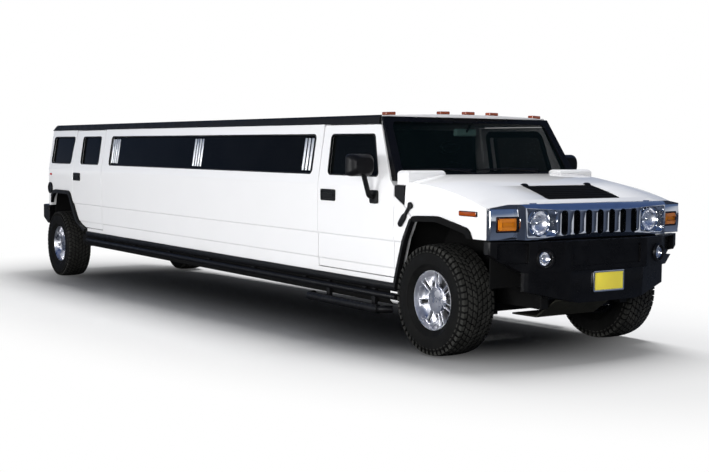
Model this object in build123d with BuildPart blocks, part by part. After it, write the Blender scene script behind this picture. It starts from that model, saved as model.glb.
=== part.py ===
from build123d import *

import os
from math import asin, cos, degrees, radians, sin, tan

# A full-size off-road vehicle stretched into a limousine, in millimetres.
# Every piece is drawn on a level body: x is the station ahead of the front axle, y is to the left,
# z is the height above the ground under the front axle. BODY_PLACE then lifts the tail and moves the
# origin to the middle of the whole, at ground level.

# Stance
WHEELBASE = 8200
TRACK = 1750
TYRE_R = 436.5
REAR_LIFT = 142

# Body section: half-width, heights and wall
SIDE_Y = 1000
SILL_Z = 520
DOOR_Z = 568
SHOULDER_Z = 1290
RAIL_Z = 1808
ROOF_EDGE_Z = 1876
CROWN_Z = 1896
TUMBLEHOME = 8.8
WALL = 70
CREASE_ZS = (860, 640)
CREASE_IN = 9
CREASE_H = 14
GAP = 8

# Stations along the body; those behind the stretch follow the rear axle
RAKE = degrees(asin(REAR_LIFT / WHEELBASE))
REAR_AXLE_X = -WHEELBASE * cos(radians(RAKE))
REAR_AXLE_Z = TYRE_R - REAR_LIFT
COWL_X = -508
FIREWALL_X = -560
B_PILLAR_X = -1660
REAR_DOOR_X = REAR_AXLE_X + 1474
QUARTER_X = REAR_AXLE_X + 504
TAIL_X = REAR_AXLE_X - 441

# Ends of the vehicle: foremost point of the front bumper, rearmost of the rear one
NOSE = (872, 704)
STERN = (TAIL_X - 346, 740)

# Hinge pins on the outer corner of each shut line
HINGE_R = 5
HINGE_H = 70
HINGE_FIT = 0.08
HINGE_ZS = (930, 1170)
HOOD_HINGE = (684, 1204)
HINGE_Y = 600

# Windows
WINDOW_LOW_Z = 1369
WINDOW_HIGH_Z = 1726
WINDOW_R = 45
GLASS_DEPTH = (24, 32)
GLASS_FIT = 0.3

# Running gear
WHEEL_Y = TRACK / 2
KINGPIN_Y = WHEEL_Y - 115
KINGPIN_R = 20
SPINDLE_R = 34
SPINDLE_END_Y = WHEEL_Y + 55
RUNNING_FIT = 0.3
DISC_R = 165

# Ladder frame
RAIL_Y = 420
FRAME_RAIL_W = 76
FRAME_LOW_Z = 400
FRAME_HIGH_Z = 556
FRAME_FRONT_X = 640
FRAME_REAR_X = TAIL_X
FLOOR_TOP_Z = 600
FLOOR_Y = SIDE_Y - WALL - 1
REAR_HOUSING_Y = 641

# Reach of a cut that goes right through
SIDE_REACH = 1300


def raked_x(x, z):
    """Station of a point once the body is raked about the front axle."""
    return x * cos(radians(RAKE)) + (z - TYRE_R) * sin(radians(RAKE))


FRONT_AXLE_X = -(raked_x(*NOSE) + raked_x(*STERN)) / 2
BODY_PLACE = Location((FRONT_AXLE_X, 0, TYRE_R), (0, RAKE, 0)) * Location((0, 0, -TYRE_R))

os.makedirs("parts", exist_ok=True)


def export(label, part):
    """Set a piece at the body's rake in the shared frame and write its STEP file."""
    placed = part.moved(BODY_PLACE)
    placed.label = label
    export_step(placed, f"parts/{label}.step")


def export_pair(label, left):
    """Write a left piece and its mirrored right twin."""
    export(f"{label}_left", left)
    with BuildPart() as right:
        mirror(left, about=Plane.XZ)
    export(f"{label}_right", right.part)


def skin_y(z):
    """Half-width of the outer skin at a height: it leans in above the shoulder."""
    return SIDE_Y - max(0, z - SHOULDER_Z) * tan(radians(TUMBLEHOME))


def section_points(depth_out, depth_in, creased):
    """Left wall section between two depths under the skin; a creased skin steps in on its way down."""
    points = [(skin_y(RAIL_Z) - depth_out, RAIL_Z), (SIDE_Y - depth_out, SHOULDER_Z)]
    inset = 0
    if creased:
        for crease_z in CREASE_ZS:
            points.append((SIDE_Y - depth_out - inset, crease_z + CREASE_H / 2))
            inset += CREASE_IN
            points.append((SIDE_Y - depth_out - inset, crease_z - CREASE_H / 2))
    points.append((SIDE_Y - depth_out - inset, SILL_Z))
    points += [(SIDE_Y - depth_in, SILL_Z), (SIDE_Y - depth_in, SHOULDER_Z)]
    points.append((skin_y(RAIL_Z) - depth_in, RAIL_Z))
    return points


def outline(points, radii, plane=Plane.XZ, grow=0):
    """Closed polygon on a plane, the side view by default, its corners rounded by one radius or one each."""
    if not isinstance(radii, (list, tuple)):
        radii = [radii] * len(points)
    with BuildSketch(plane) as sketch:
        with BuildLine():
            Polyline(*points, close=True)
        make_face()
        for point, radius in zip(points, radii):
            if radius:
                fillet(sketch.vertices().sort_by_distance(point)[0], radius)
        if grow:
            offset(amount=grow, mode=Mode.REPLACE)
    return sketch.sketch


def side_wall(points, radius, depth=(0, WALL), creased=False, windows=(), grow=0):
    """One left piece of the body side: the wall section cut to a side-view outline, windows cut out."""
    stations = [x for x, _ in points]
    with BuildPart() as wall:
        with BuildSketch(Plane.YZ.offset(min(stations))):
            with BuildLine():
                Polyline(*section_points(*depth, creased), close=True)
            make_face()
        extrude(amount=max(stations) - min(stations))
        extrude(outline(points, radius, grow=grow), amount=-SIDE_REACH, mode=Mode.INTERSECT)
        for window in windows:
            extrude(outline(window, WINDOW_R), amount=-SIDE_REACH, mode=Mode.SUBTRACT)
    return wall.part


def side_prism(points, y_from, y_to, radii=0):
    """Side-view outline extruded between two half-widths on the left."""
    with BuildPart() as prism:
        extrude(outline(points, radii, Plane.XZ.offset(-y_from)), amount=y_from - y_to)
    return prism.part


def both_sides(left):
    """A left piece together with its mirrored twin."""
    with BuildPart() as pair:
        add(left)
        mirror(left, about=Plane.XZ)
    return pair.part


def door_hinge(x):
    """Left door's fixed hinge halves at a station: pins on the skin, each on a short leaf ahead of it."""
    leaf_w = 10
    leaf_gap = 1
    with BuildPart() as hinge:
        for z in HINGE_ZS:
            with Locations((x, SIDE_Y, z)):
                Cylinder(HINGE_R, HINGE_H)
            with Locations((x + leaf_gap, SIDE_Y, z)):
                Box(1.5 * GAP, leaf_w, HINGE_H, align=(Align.MIN, Align.MAX, Align.CENTER))
    return hinge.part


def hinge_seat(x):
    """Room for the pins of a left door's hinge, with a running fit."""
    with BuildPart() as seat:
        with Locations([(x, SIDE_Y, z) for z in HINGE_ZS]):
            Cylinder(HINGE_R + HINGE_FIT, HINGE_H + GAP)
    return seat.part


def shut_bevel(x):
    """Wedge cut behind a shut line, so that the inner edge of a swinging door passes."""
    bevel = 16
    with BuildPart() as wedge:
        with BuildSketch(Plane.XY.offset(DOOR_Z - GAP)):
            with BuildLine():
                Polyline((x, SIDE_Y - GAP), (x + GAP, SIDE_Y / 2), (x - 5 * bevel, SIDE_Y / 2), close=True)
            make_face()
        extrude(amount=RAIL_Z - DOOR_Z + 3 * GAP)
    return wedge.part


# Side outlines, station and height
FRONT_DOOR_X = COWL_X - GAP
DOOR_HIGH_Z = RAIL_Z - GAP
SILL_TOP_Z = DOOR_Z - GAP
FRONT_WINDOW = [
    (FRONT_DOOR_X - 228, WINDOW_LOW_Z),
    (FRONT_DOOR_X - 356, WINDOW_HIGH_Z),
    (B_PILLAR_X + 116, WINDOW_HIGH_Z),
    (B_PILLAR_X + 132, WINDOW_LOW_Z),
]
LONG_WINDOW = [
    (B_PILLAR_X - 126, WINDOW_LOW_Z),
    (B_PILLAR_X - 126, WINDOW_HIGH_Z),
    (REAR_DOOR_X + 213, WINDOW_HIGH_Z),
    (REAR_DOOR_X + 213, WINDOW_LOW_Z),
]
REAR_WINDOW = [
    (REAR_DOOR_X - 111, WINDOW_LOW_Z),
    (REAR_DOOR_X - 111, WINDOW_HIGH_Z),
    (QUARTER_X + 237, WINDOW_HIGH_Z),
    (QUARTER_X + 237, WINDOW_LOW_Z),
]
QUARTER_WINDOW = [
    (QUARTER_X - 105, WINDOW_LOW_Z),
    (QUARTER_X - 45, WINDOW_HIGH_Z),
    (TAIL_X + 120, WINDOW_HIGH_Z),
    (TAIL_X + 110, WINDOW_LOW_Z),
]
FRONT_DOOR = [
    (FRONT_DOOR_X, DOOR_Z),
    (FRONT_DOOR_X, 1300),
    (-578, 1352),
    (-806, DOOR_HIGH_Z),
    (B_PILLAR_X, DOOR_HIGH_Z),
    (B_PILLAR_X, DOOR_Z),
]
REAR_DOOR = [
    (REAR_DOOR_X, DOOR_Z),
    (REAR_DOOR_X, DOOR_HIGH_Z),
    (QUARTER_X, DOOR_HIGH_Z),
    (QUARTER_X, DOOR_Z),
]
DOOR_R = 20
FRONT_ARCH = [
    (-506, 440),
    (-430, 700),
    (-368, 885),
    (-262, 1078),
    (70, 1092),
    (445, 1018),
    (520, 880),
    (560, 440),
]
FRONT_ARCH_RS = [0, 300, 300, 100, 400, 90, 80, 0]
REAR_ARCH = [
    (REAR_AXLE_X + 1299, 458),
    (REAR_AXLE_X + 709, 610),
    (REAR_AXLE_X + 539, 820),
    (REAR_AXLE_X + 399, 1018),
    (REAR_AXLE_X - 181, 1018),
    (REAR_AXLE_X - 291, 930),
    (REAR_AXLE_X - 361, 700),
    (REAR_AXLE_X - 361, 458),
]
REAR_ARCH_RS = [0, 300, 300, 150, 150, 150, 150, 0]

# Ladder frame: two rails and their cross members
FRONT_CROSS_X = 595
FIRST_CROSS_X = -620
CROSS_SPANS = 6
CROSS_W = 90
CROSS_H = 80
CROSS_PITCH = (FRAME_REAR_X + 140 - FIRST_CROSS_X) / CROSS_SPANS
with BuildPart() as chassis_frame:
    with Locations(((FRAME_FRONT_X + FRAME_REAR_X) / 2, 0, (FRAME_LOW_Z + FRAME_HIGH_Z) / 2)):
        with Locations((0, RAIL_Y, 0), (0, -RAIL_Y, 0)):
            Box(FRAME_FRONT_X - FRAME_REAR_X, FRAME_RAIL_W, FRAME_HIGH_Z - FRAME_LOW_Z)
    cross_xs = [FRONT_CROSS_X] + [FIRST_CROSS_X + i * CROSS_PITCH for i in range(CROSS_SPANS + 1)]
    with Locations([(x, 0, FRAME_HIGH_Z) for x in cross_xs]):
        Box(CROSS_W, 2 * RAIL_Y, CROSS_H, align=(Align.CENTER, Align.CENTER, Align.MAX))
export("chassis_frame", chassis_frame.part)

# Floor pan: flat from the firewall back, narrowed between the rear wheels
FLOOR_FRONT_X = FIREWALL_X - 40
FLOOR_STEP_X = REAR_AXLE_X + 1079
FLOOR_REAR_X = TAIL_X + 72
with BuildPart() as floor_pan:
    with BuildSketch(Plane.XY.offset(FRAME_HIGH_Z)):
        with BuildLine():
            Polyline(
                (FLOOR_FRONT_X, FLOOR_Y),
                (FLOOR_STEP_X, FLOOR_Y),
                (FLOOR_STEP_X, REAR_HOUSING_Y),
                (FLOOR_REAR_X, REAR_HOUSING_Y),
                (FLOOR_REAR_X, -REAR_HOUSING_Y),
                (FLOOR_STEP_X, -REAR_HOUSING_Y),
                (FLOOR_STEP_X, -FLOOR_Y),
                (FLOOR_FRONT_X, -FLOOR_Y),
                close=True,
            )
        make_face()
    extrude(amount=FLOOR_TOP_Z - FRAME_HIGH_Z)
export("floor_pan", floor_pan.part)

# Side panels with their sill strips
SILL_REAR_X = REAR_AXLE_X + 960
SIDE_PANEL = [
    (COWL_X, SILL_Z),
    (COWL_X, SILL_TOP_Z),
    (B_PILLAR_X - GAP, SILL_TOP_Z),
    (B_PILLAR_X - GAP, RAIL_Z),
    (REAR_DOOR_X + GAP, RAIL_Z),
    (REAR_DOOR_X + GAP, SILL_TOP_Z),
    (SILL_REAR_X, SILL_TOP_Z),
    (SILL_REAR_X, SILL_Z),
]
with BuildPart() as side_panel:
    add(side_wall(SIDE_PANEL, 0, creased=True, windows=[LONG_WINDOW]))
    add(shut_bevel(B_PILLAR_X - GAP), mode=Mode.SUBTRACT)
    add(door_hinge(REAR_DOOR_X))
export_pair("side_panel", side_panel.part)

# Quarter panels, turned in at the tail beside the tailgate
QUARTER_LOW_Z = 800
TAILGATE_Y = 800
CORNER_R = 45
QUARTER_PANEL = [
    (QUARTER_X - GAP, QUARTER_LOW_Z),
    (QUARTER_X - GAP, RAIL_Z),
    (TAIL_X, RAIL_Z),
    (TAIL_X, QUARTER_LOW_Z),
]
with BuildPart() as quarter_panel:
    with BuildSketch(Plane.YZ.offset(TAIL_X)):
        with BuildLine():
            Polyline(
                (TAILGATE_Y + GAP, QUARTER_LOW_Z),
                (SIDE_Y, QUARTER_LOW_Z),
                (SIDE_Y, SHOULDER_Z),
                (skin_y(RAIL_Z), RAIL_Z),
                (TAILGATE_Y + GAP, RAIL_Z),
                close=True,
            )
        make_face()
    extrude(amount=WALL)
    add(side_wall(QUARTER_PANEL, 0, windows=[QUARTER_WINDOW]))
    tail_edges = quarter_panel.edges().filter_by(lambda e: abs(e.center().X - TAIL_X) < 1)
    fillet(tail_edges.filter_by(lambda e: e.length > 300 and e.center().Y > skin_y(RAIL_Z) - 5), CORNER_R)
    add(shut_bevel(QUARTER_X - GAP), mode=Mode.SUBTRACT)
    extrude(outline(REAR_ARCH, REAR_ARCH_RS), amount=-SIDE_REACH, mode=Mode.SUBTRACT)
export_pair("quarter_panel", quarter_panel.part)

# Fixed side glass, with fluted divider panels on the long windows
DIVIDER_XS = (B_PILLAR_X - 245, (B_PILLAR_X + REAR_DOOR_X) / 2 + 42, REAR_DOOR_X + 332)
DIVIDER_W = 230
FLUTES = 6
FLUTE_STEP = 6
DIVIDER_LOW_Z = WINDOW_LOW_Z + 39
DIVIDER_HIGH_Z = WINDOW_HIGH_Z - 38
with BuildPart() as side_glass:
    for window in (LONG_WINDOW, QUARTER_WINDOW):
        add(both_sides(side_wall(window, WINDOW_R, depth=GLASS_DEPTH, grow=-GLASS_FIT)))
export("side_glass", side_glass.part)

with BuildPart() as window_dividers:
    pitch = DIVIDER_W / FLUTES
    for x in DIVIDER_XS:
        for flute in range(FLUTES):
            front_x = x + DIVIDER_W / 2 - flute * pitch
            strip = [
                (front_x, DIVIDER_LOW_Z),
                (front_x, DIVIDER_HIGH_Z),
                (front_x - pitch, DIVIDER_HIGH_Z),
                (front_x - pitch, DIVIDER_LOW_Z),
            ]
            add(both_sides(side_wall(strip, 0, depth=(GAP + FLUTE_STEP * (flute % 2), GLASS_DEPTH[0]))))
export("window_dividers", window_dividers.part)

# Roof: a crowned shell bowed forward over the windscreen, with a thick header for the tailgate's hinges
RAIL_T = 16
ROOF_Y = skin_y(ROOF_EDGE_Z) - RAIL_T
ROOF_SKIN = 45
ROOF_WEB = 55
ROOF_INNER_Z = ROOF_EDGE_Z - 42
ROOF_BOW = 58
VISOR_Z = 1868.4
ROOF_FRONT_X = -828
ROOF_REAR_X = TAIL_X - 5
HEADER_L = 70
LEAF = 12
TAIL_SLOPE = [(TAIL_X + 230, 1930), (TAIL_X - 22, 1796), (TAIL_X - 260, 1796), (TAIL_X - 260, 1930)]


def roof_section(half_w, edge_z, crown_z):
    """Cross section of the vehicle's top, from a crowned upper side down to the rails."""
    with BuildSketch(Plane.YZ.offset(ROOF_REAR_X)) as section:
        with BuildLine():
            ThreePointArc((-half_w, edge_z), (0, crown_z), (half_w, edge_z))
            Polyline((half_w, edge_z), (half_w, RAIL_Z), (-half_w, RAIL_Z), (-half_w, edge_z))
        make_face()
    return section.sketch


with BuildPart() as roof_panel:
    with BuildSketch(Plane.XY.offset(VISOR_Z)):
        with BuildLine():
            ThreePointArc((ROOF_FRONT_X, -ROOF_Y), (ROOF_FRONT_X + ROOF_BOW, 0), (ROOF_FRONT_X, ROOF_Y))
            Line((ROOF_FRONT_X, ROOF_Y), (ROOF_FRONT_X, -ROOF_Y))
        make_face()
    extrude(amount=CROWN_Z - VISOR_Z)
    extrude(roof_section(ROOF_Y, ROOF_EDGE_Z, CROWN_Z), amount=-ROOF_REAR_X, mode=Mode.INTERSECT)
    extrude(roof_section(ROOF_Y, ROOF_EDGE_Z, CROWN_Z), amount=ROOF_FRONT_X - ROOF_REAR_X)
    hollow = roof_section(ROOF_Y - ROOF_WEB, ROOF_INNER_Z, CROWN_Z - ROOF_SKIN)
    hollow = hollow.moved(Location((HEADER_L, 0, 0)))
    extrude(hollow, amount=ROOF_FRONT_X - ROOF_REAR_X - HEADER_L, mode=Mode.SUBTRACT)
    extrude(outline(TAIL_SLOPE, 0), amount=SIDE_REACH, both=True, mode=Mode.SUBTRACT)
    for y in (HINGE_Y, -HINGE_Y):
        with Locations((TAIL_X, y, DOOR_HIGH_Z)):
            Cylinder(HINGE_R, HINGE_H, rotation=(90, 0, 0))
        with Locations((TAIL_X, y, DOOR_HIGH_Z + 1)):
            Box(LEAF, HINGE_H, GAP + 2, align=(Align.MIN, Align.CENTER, Align.MIN))
export("roof_panel", roof_panel.part)

# Windscreen frame and glass
SCREEN_BASE = (-474, 1342)
SCREEN_TOP = (-800, 1868)
SCREEN_SLOPE = (SCREEN_BASE[0] - SCREEN_TOP[0]) / (SCREEN_TOP[1] - SCREEN_BASE[1])
SCREEN_OPENING = [(905, 1404), (838, 1824), (-838, 1824), (-905, 1404)]
SCREEN_R = 50
SCREEN_REACH = 800
SCREEN_DEPTH = (12, 22)
SCREEN_PLANE = Plane.YZ.offset(SCREEN_TOP[0] - 200)


def screen_x(z, depth=0):
    """Station of the windscreen plane at a height, some way behind the frame's front."""
    return SCREEN_BASE[0] - (z - SCREEN_BASE[1]) * SCREEN_SLOPE - depth


with BuildPart() as windscreen_frame:
    with BuildSketch(Plane.XZ):
        with BuildLine():
            foot = (-552, SCREEN_BASE[1])
            Polyline(SCREEN_BASE, SCREEN_TOP, (ROOF_FRONT_X, SCREEN_TOP[1]), foot, close=True)
        make_face()
    extrude(amount=SIDE_REACH, both=True)
    flanks = [(skin_y(SHOULDER_Z), SHOULDER_Z), (skin_y(CROWN_Z), CROWN_Z)]
    flanks += [(-y, z) for y, z in reversed(flanks)]
    extrude(outline(flanks, 0, SCREEN_PLANE), amount=SCREEN_REACH, mode=Mode.INTERSECT)
    extrude(outline(SCREEN_OPENING, SCREEN_R, SCREEN_PLANE), amount=SCREEN_REACH, mode=Mode.SUBTRACT)
export("windscreen_frame", windscreen_frame.part)

with BuildPart() as windscreen:
    low_z, high_z = SCREEN_BASE[1] + GAP, SCREEN_TOP[1]
    near, far = SCREEN_DEPTH
    with BuildSketch(Plane.XZ):
        with BuildLine():
            Polyline(
                (screen_x(low_z, near), low_z),
                (screen_x(high_z, near), high_z),
                (screen_x(high_z, far), high_z),
                (screen_x(low_z, far), low_z),
                close=True,
            )
        make_face()
    extrude(amount=SIDE_REACH, both=True)
    pane = outline(SCREEN_OPENING, SCREEN_R, SCREEN_PLANE, grow=-GLASS_FIT)
    extrude(pane, amount=SCREEN_REACH, mode=Mode.INTERSECT)
export("windscreen", windscreen.part)

# Cowl: firewall, scuttle and the fixed side pieces between front door and arch
COWL_SIDE = [
    (COWL_X, SILL_Z),
    (COWL_X, 1222),
    (-372, 1146),
    (-274, 1058),
    FRONT_ARCH[2],
    FRONT_ARCH[1],
    (-484, SILL_Z),
]
FIREWALL_T = 40
FIREWALL_Y = 915
FIREWALL_HIGH_Z = 1340
WEB_HIGH_Z = 1200
COWL_WEBS = (
    # station, half-width, length, width
    (-524, 911, 72, 28),
    (-497, 926, 18, 10),
)
with BuildPart() as cowl:
    with Locations((FIREWALL_X, 0, FRAME_HIGH_Z)):
        wall_h = FIREWALL_HIGH_Z - FRAME_HIGH_Z
        Box(FIREWALL_T, 2 * FIREWALL_Y, wall_h, align=(Align.MAX, Align.CENTER, Align.MIN))
    with Locations((-541, 0, FIREWALL_HIGH_Z - 13)):
        Box(118, 2 * (FIREWALL_Y - 15), 30)
    flank = side_wall(COWL_SIDE, 0, creased=True)
    add(both_sides(flank))
    add(both_sides(door_hinge(FRONT_DOOR_X)))
    for x, y, length, width in COWL_WEBS:
        with Locations((x, y, FRAME_HIGH_Z), (x, -y, FRAME_HIGH_Z)):
            Box(length, width, WEB_HIGH_Z - FRAME_HIGH_Z, align=(Align.CENTER, Align.CENTER, Align.MIN))
export("cowl", cowl.part)

# Hood: a clamshell with both fenders, lofted across from fender edge to crease
HOOD_SKIN = 26
HOOD_WALL = 40
HOOD_LOW_Z = 944
CREASE_Y = 690
HOOD_PROFILES = (
    # half-width, rear x, rear z, middle x, middle z, front x, front z
    (SIDE_Y, -452, 1334, 110, 1302, 632, 1172),
    (CREASE_Y, -452, 1392, 130, 1357, HOOD_HINGE[0], HOOD_HINGE[1]),
)
HOOD_CUT = [(-352, 1316), (-366, 1152), (-262, 1062), (-262, 900), (-700, 900), (-700, 1316)]
POD = (150, 368, 116)
POD_AT = (-392, 814, 1372)
POD_R = 30
VENT = [(300, 372), (618, 390), (618, -390), (300, -372)]
VENT_R = 25
VENT_DEPTH = 10


def hood_loft(y_edge, drop, reach, low_z):
    """Ruled loft over the two hood profiles and their mirrors, lowered, lengthened or narrowed."""
    rows = [(y_edge, HOOD_PROFILES[0]), (CREASE_Y, HOOD_PROFILES[1])]
    rows += [(-y, row) for y, row in reversed(rows)]
    with BuildPart() as body:
        for y, (_, rear_x, rear_z, mid_x, mid_z, front_x, front_z) in rows:
            front = (front_x, front_z - drop)
            rear = (rear_x, rear_z - drop)
            with BuildSketch(Plane.XZ.offset(-y)):
                with BuildLine():
                    ThreePointArc(rear, (mid_x, mid_z - drop), front)
                    if reach:
                        Line(front, (front_x + reach, front[1]))
                        Line((rear_x - reach, rear[1]), rear)
                    Polyline(
                        (front_x + reach, front[1]),
                        (front_x + reach, low_z),
                        (rear_x - reach, low_z),
                        (rear_x - reach, rear[1]),
                    )
                make_face()
        loft(ruled=True)
    return body.part


def hood_layer(shrink, drop_out, drop_in):
    """Patch of the hood's skin under the vent's plan outline, between two depths."""
    with BuildPart() as patch:
        extrude(outline(VENT, VENT_R, Plane.XY.offset(1100), grow=-shrink), amount=400)
        add(hood_loft(SIDE_Y, drop_out, 0, HOOD_LOW_Z), mode=Mode.INTERSECT)
        add(hood_loft(SIDE_Y, drop_in, 120, HOOD_LOW_Z), mode=Mode.SUBTRACT)
    return patch.part


with BuildPart() as hood:
    add(hood_loft(SIDE_Y, 0, 0, HOOD_LOW_Z))
    pod_x, pod_y, pod_z = POD_AT
    with Locations((pod_x, pod_y, pod_z), (pod_x, -pod_y, pod_z)):
        Box(*POD)
    pod_top_z = pod_z + POD[2] / 2
    fillet(hood.edges().filter_by(lambda e: abs(e.center().Z - pod_top_z) < 1), POD_R)
    add(hood_loft(SIDE_Y - HOOD_WALL, HOOD_SKIN, 120, HOOD_LOW_Z - 60), mode=Mode.SUBTRACT)
    extrude(outline(FRONT_ARCH, FRONT_ARCH_RS), amount=SIDE_REACH, both=True, mode=Mode.SUBTRACT)
    extrude(outline(HOOD_CUT, 0), amount=SIDE_REACH, both=True, mode=Mode.SUBTRACT)
    add(hood_layer(0, 0, VENT_DEPTH), mode=Mode.SUBTRACT)
    for y in (HINGE_Y, -HINGE_Y):
        with Locations((HOOD_HINGE[0], y, HOOD_HINGE[1])):
            Cylinder(HINGE_R + HINGE_FIT, HINGE_H + GAP, rotation=(90, 0, 0), mode=Mode.SUBTRACT)
export("hood", hood.part)

# Grille shell: bowed centre with slots and lamp pockets, swept-back outer panels
GRILLE_LOW_Z = 944
GRILLE_HIGH_Z = 1202
SLOTS = 7
SLOT_PITCH = 122
SLOT_W = 66
SLOT_H = 186
SLOT_R = 30
SLOT_Z = 1062
HEADLAMP_Y = 580
HEADLAMP_Z = 1063
HEADLAMP_R = 92
LAMP_POCKET = (280, 196, 36)
POCKET_X = 730
INDICATOR = (695.2, 859, 1057)
INDICATOR_SIZE = (164, 94)
INDICATOR_SWEEP = 8.2
with BuildPart() as grille_shell:
    with BuildSketch(Plane.XY.offset(GRILLE_LOW_Z)):
        with BuildLine():
            Polyline((640, 1002), (668, 1000), (702, 764), (764, 738))
            ThreePointArc((764, 738), (786, 0), (764, -738))
            Polyline((764, -738), (702, -764), (668, -1000), (640, -1002))
            Polyline((640, -1002), (640, -960), (672, -780), (696, -700))
            Line((696, -700), (696, 700))
            Polyline((696, 700), (672, 780), (640, 960), (640, 1002))
        make_face()
    extrude(amount=GRILLE_HIGH_Z - GRILLE_LOW_Z)
    with BuildSketch(Plane.XZ):
        with BuildLine():
            Polyline((600, 1174), (664, 1174), (690, GRILLE_HIGH_Z), (706, GRILLE_HIGH_Z))
            ThreePointArc((706, GRILLE_HIGH_Z), (764, 1178), (790, 1130))
            Polyline((790, 1130), (790, 990), (770, GRILLE_LOW_Z), (600, GRILLE_LOW_Z), (600, 1174))
        make_face()
    extrude(amount=SIDE_REACH, both=True, mode=Mode.INTERSECT)
    with BuildSketch(Plane.YZ.offset(POCKET_X)):
        with Locations((HEADLAMP_Y, HEADLAMP_Z), (-HEADLAMP_Y, HEADLAMP_Z)):
            RectangleRounded(*LAMP_POCKET)
    extrude(amount=200, mode=Mode.SUBTRACT)
    with BuildSketch(Plane.YZ.offset(600)):
        with Locations([((i - (SLOTS - 1) / 2) * SLOT_PITCH, SLOT_Z) for i in range(SLOTS)]):
            RectangleRounded(SLOT_W, SLOT_H, SLOT_R)
        with Locations((HEADLAMP_Y, HEADLAMP_Z), (-HEADLAMP_Y, HEADLAMP_Z)):
            Circle(HEADLAMP_R + GLASS_FIT)
    extrude(amount=300, mode=Mode.SUBTRACT)
    for y in (HINGE_Y, -HINGE_Y):
        with Locations((HOOD_HINGE[0], y, HOOD_HINGE[1])):
            Cylinder(HINGE_R, HINGE_H, rotation=(90, 0, 0))
        with Locations((HOOD_HINGE[0] + 1, y, HOOD_HINGE[1] - 2)):
            Box(16, HINGE_H, 10, align=(Align.MIN, Align.CENTER, Align.MAX))
export("grille_shell", grille_shell.part)

# Lamps: head and fog lamps, amber lamps, red lamps
HEADLAMP_XS = (686, 742)
FOG_Y = 595
FOG_Z = 806
FOG_R = 52
FOG_XS = (700, 800)
with BuildPart() as front_lamps:
    for (x_from, x_to), y, z, radius in (
        (HEADLAMP_XS, HEADLAMP_Y, HEADLAMP_Z, HEADLAMP_R),
        (FOG_XS, FOG_Y, FOG_Z, FOG_R),
    ):
        with BuildSketch(Plane.YZ.offset(x_from)):
            with Locations((y, z), (-y, z)):
                Circle(radius)
        extrude(amount=x_to - x_from)
    fillet(front_lamps.faces().filter_by(Axis.X).sort_by(Axis.X)[-4:].edges(), 8)
export("front_lamps", front_lamps.part)

ROOF_LAMP_YS = (-808, -270, 0, 270, 808)
ROOF_LAMP = (64, 100, 26)
ROOF_LAMP_X = -872
with BuildPart() as amber_lamps:
    for side in (1, -1):
        x, y, z = INDICATOR
        with Locations(Location((x, side * y, z), (0, 0, side * INDICATOR_SWEEP))):
            Box(12, *INDICATOR_SIZE)
    crown_fall = (CROWN_Z - ROOF_EDGE_Z) / ROOF_Y**2
    for y in ROOF_LAMP_YS:
        lamp_x = ROOF_LAMP_X + ROOF_BOW * (1 - (y / ROOF_Y) ** 2)
        lamp_z = CROWN_Z - crown_fall * y**2 + 0.4
        with Locations(Location((lamp_x, y, lamp_z), (-degrees(2 * crown_fall * y), 0, 0))):
            Box(*ROOF_LAMP, align=(Align.CENTER, Align.CENTER, Align.MIN))
    fillet(amber_lamps.faces().filter_by(lambda f: f.center().Z > CROWN_Z - 20).edges(), 7)
export("amber_lamps", amber_lamps.part)

TAIL_LAMP = (16, 84, 230)
SIDE_MARKER = (70, 8, 28)
with BuildPart() as tail_lamps:
    with Locations((TAIL_X, 880, 1010), (TAIL_X, -880, 1010)):
        Box(*TAIL_LAMP, align=(Align.MAX, Align.CENTER, Align.CENTER))
    for side in (1, -1):
        with Locations((TAIL_X + 125, side * (SIDE_Y + SIDE_MARKER[1] / 2), 1223)):
            Box(*SIDE_MARKER)
export("tail_lamps", tail_lamps.part)

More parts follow.
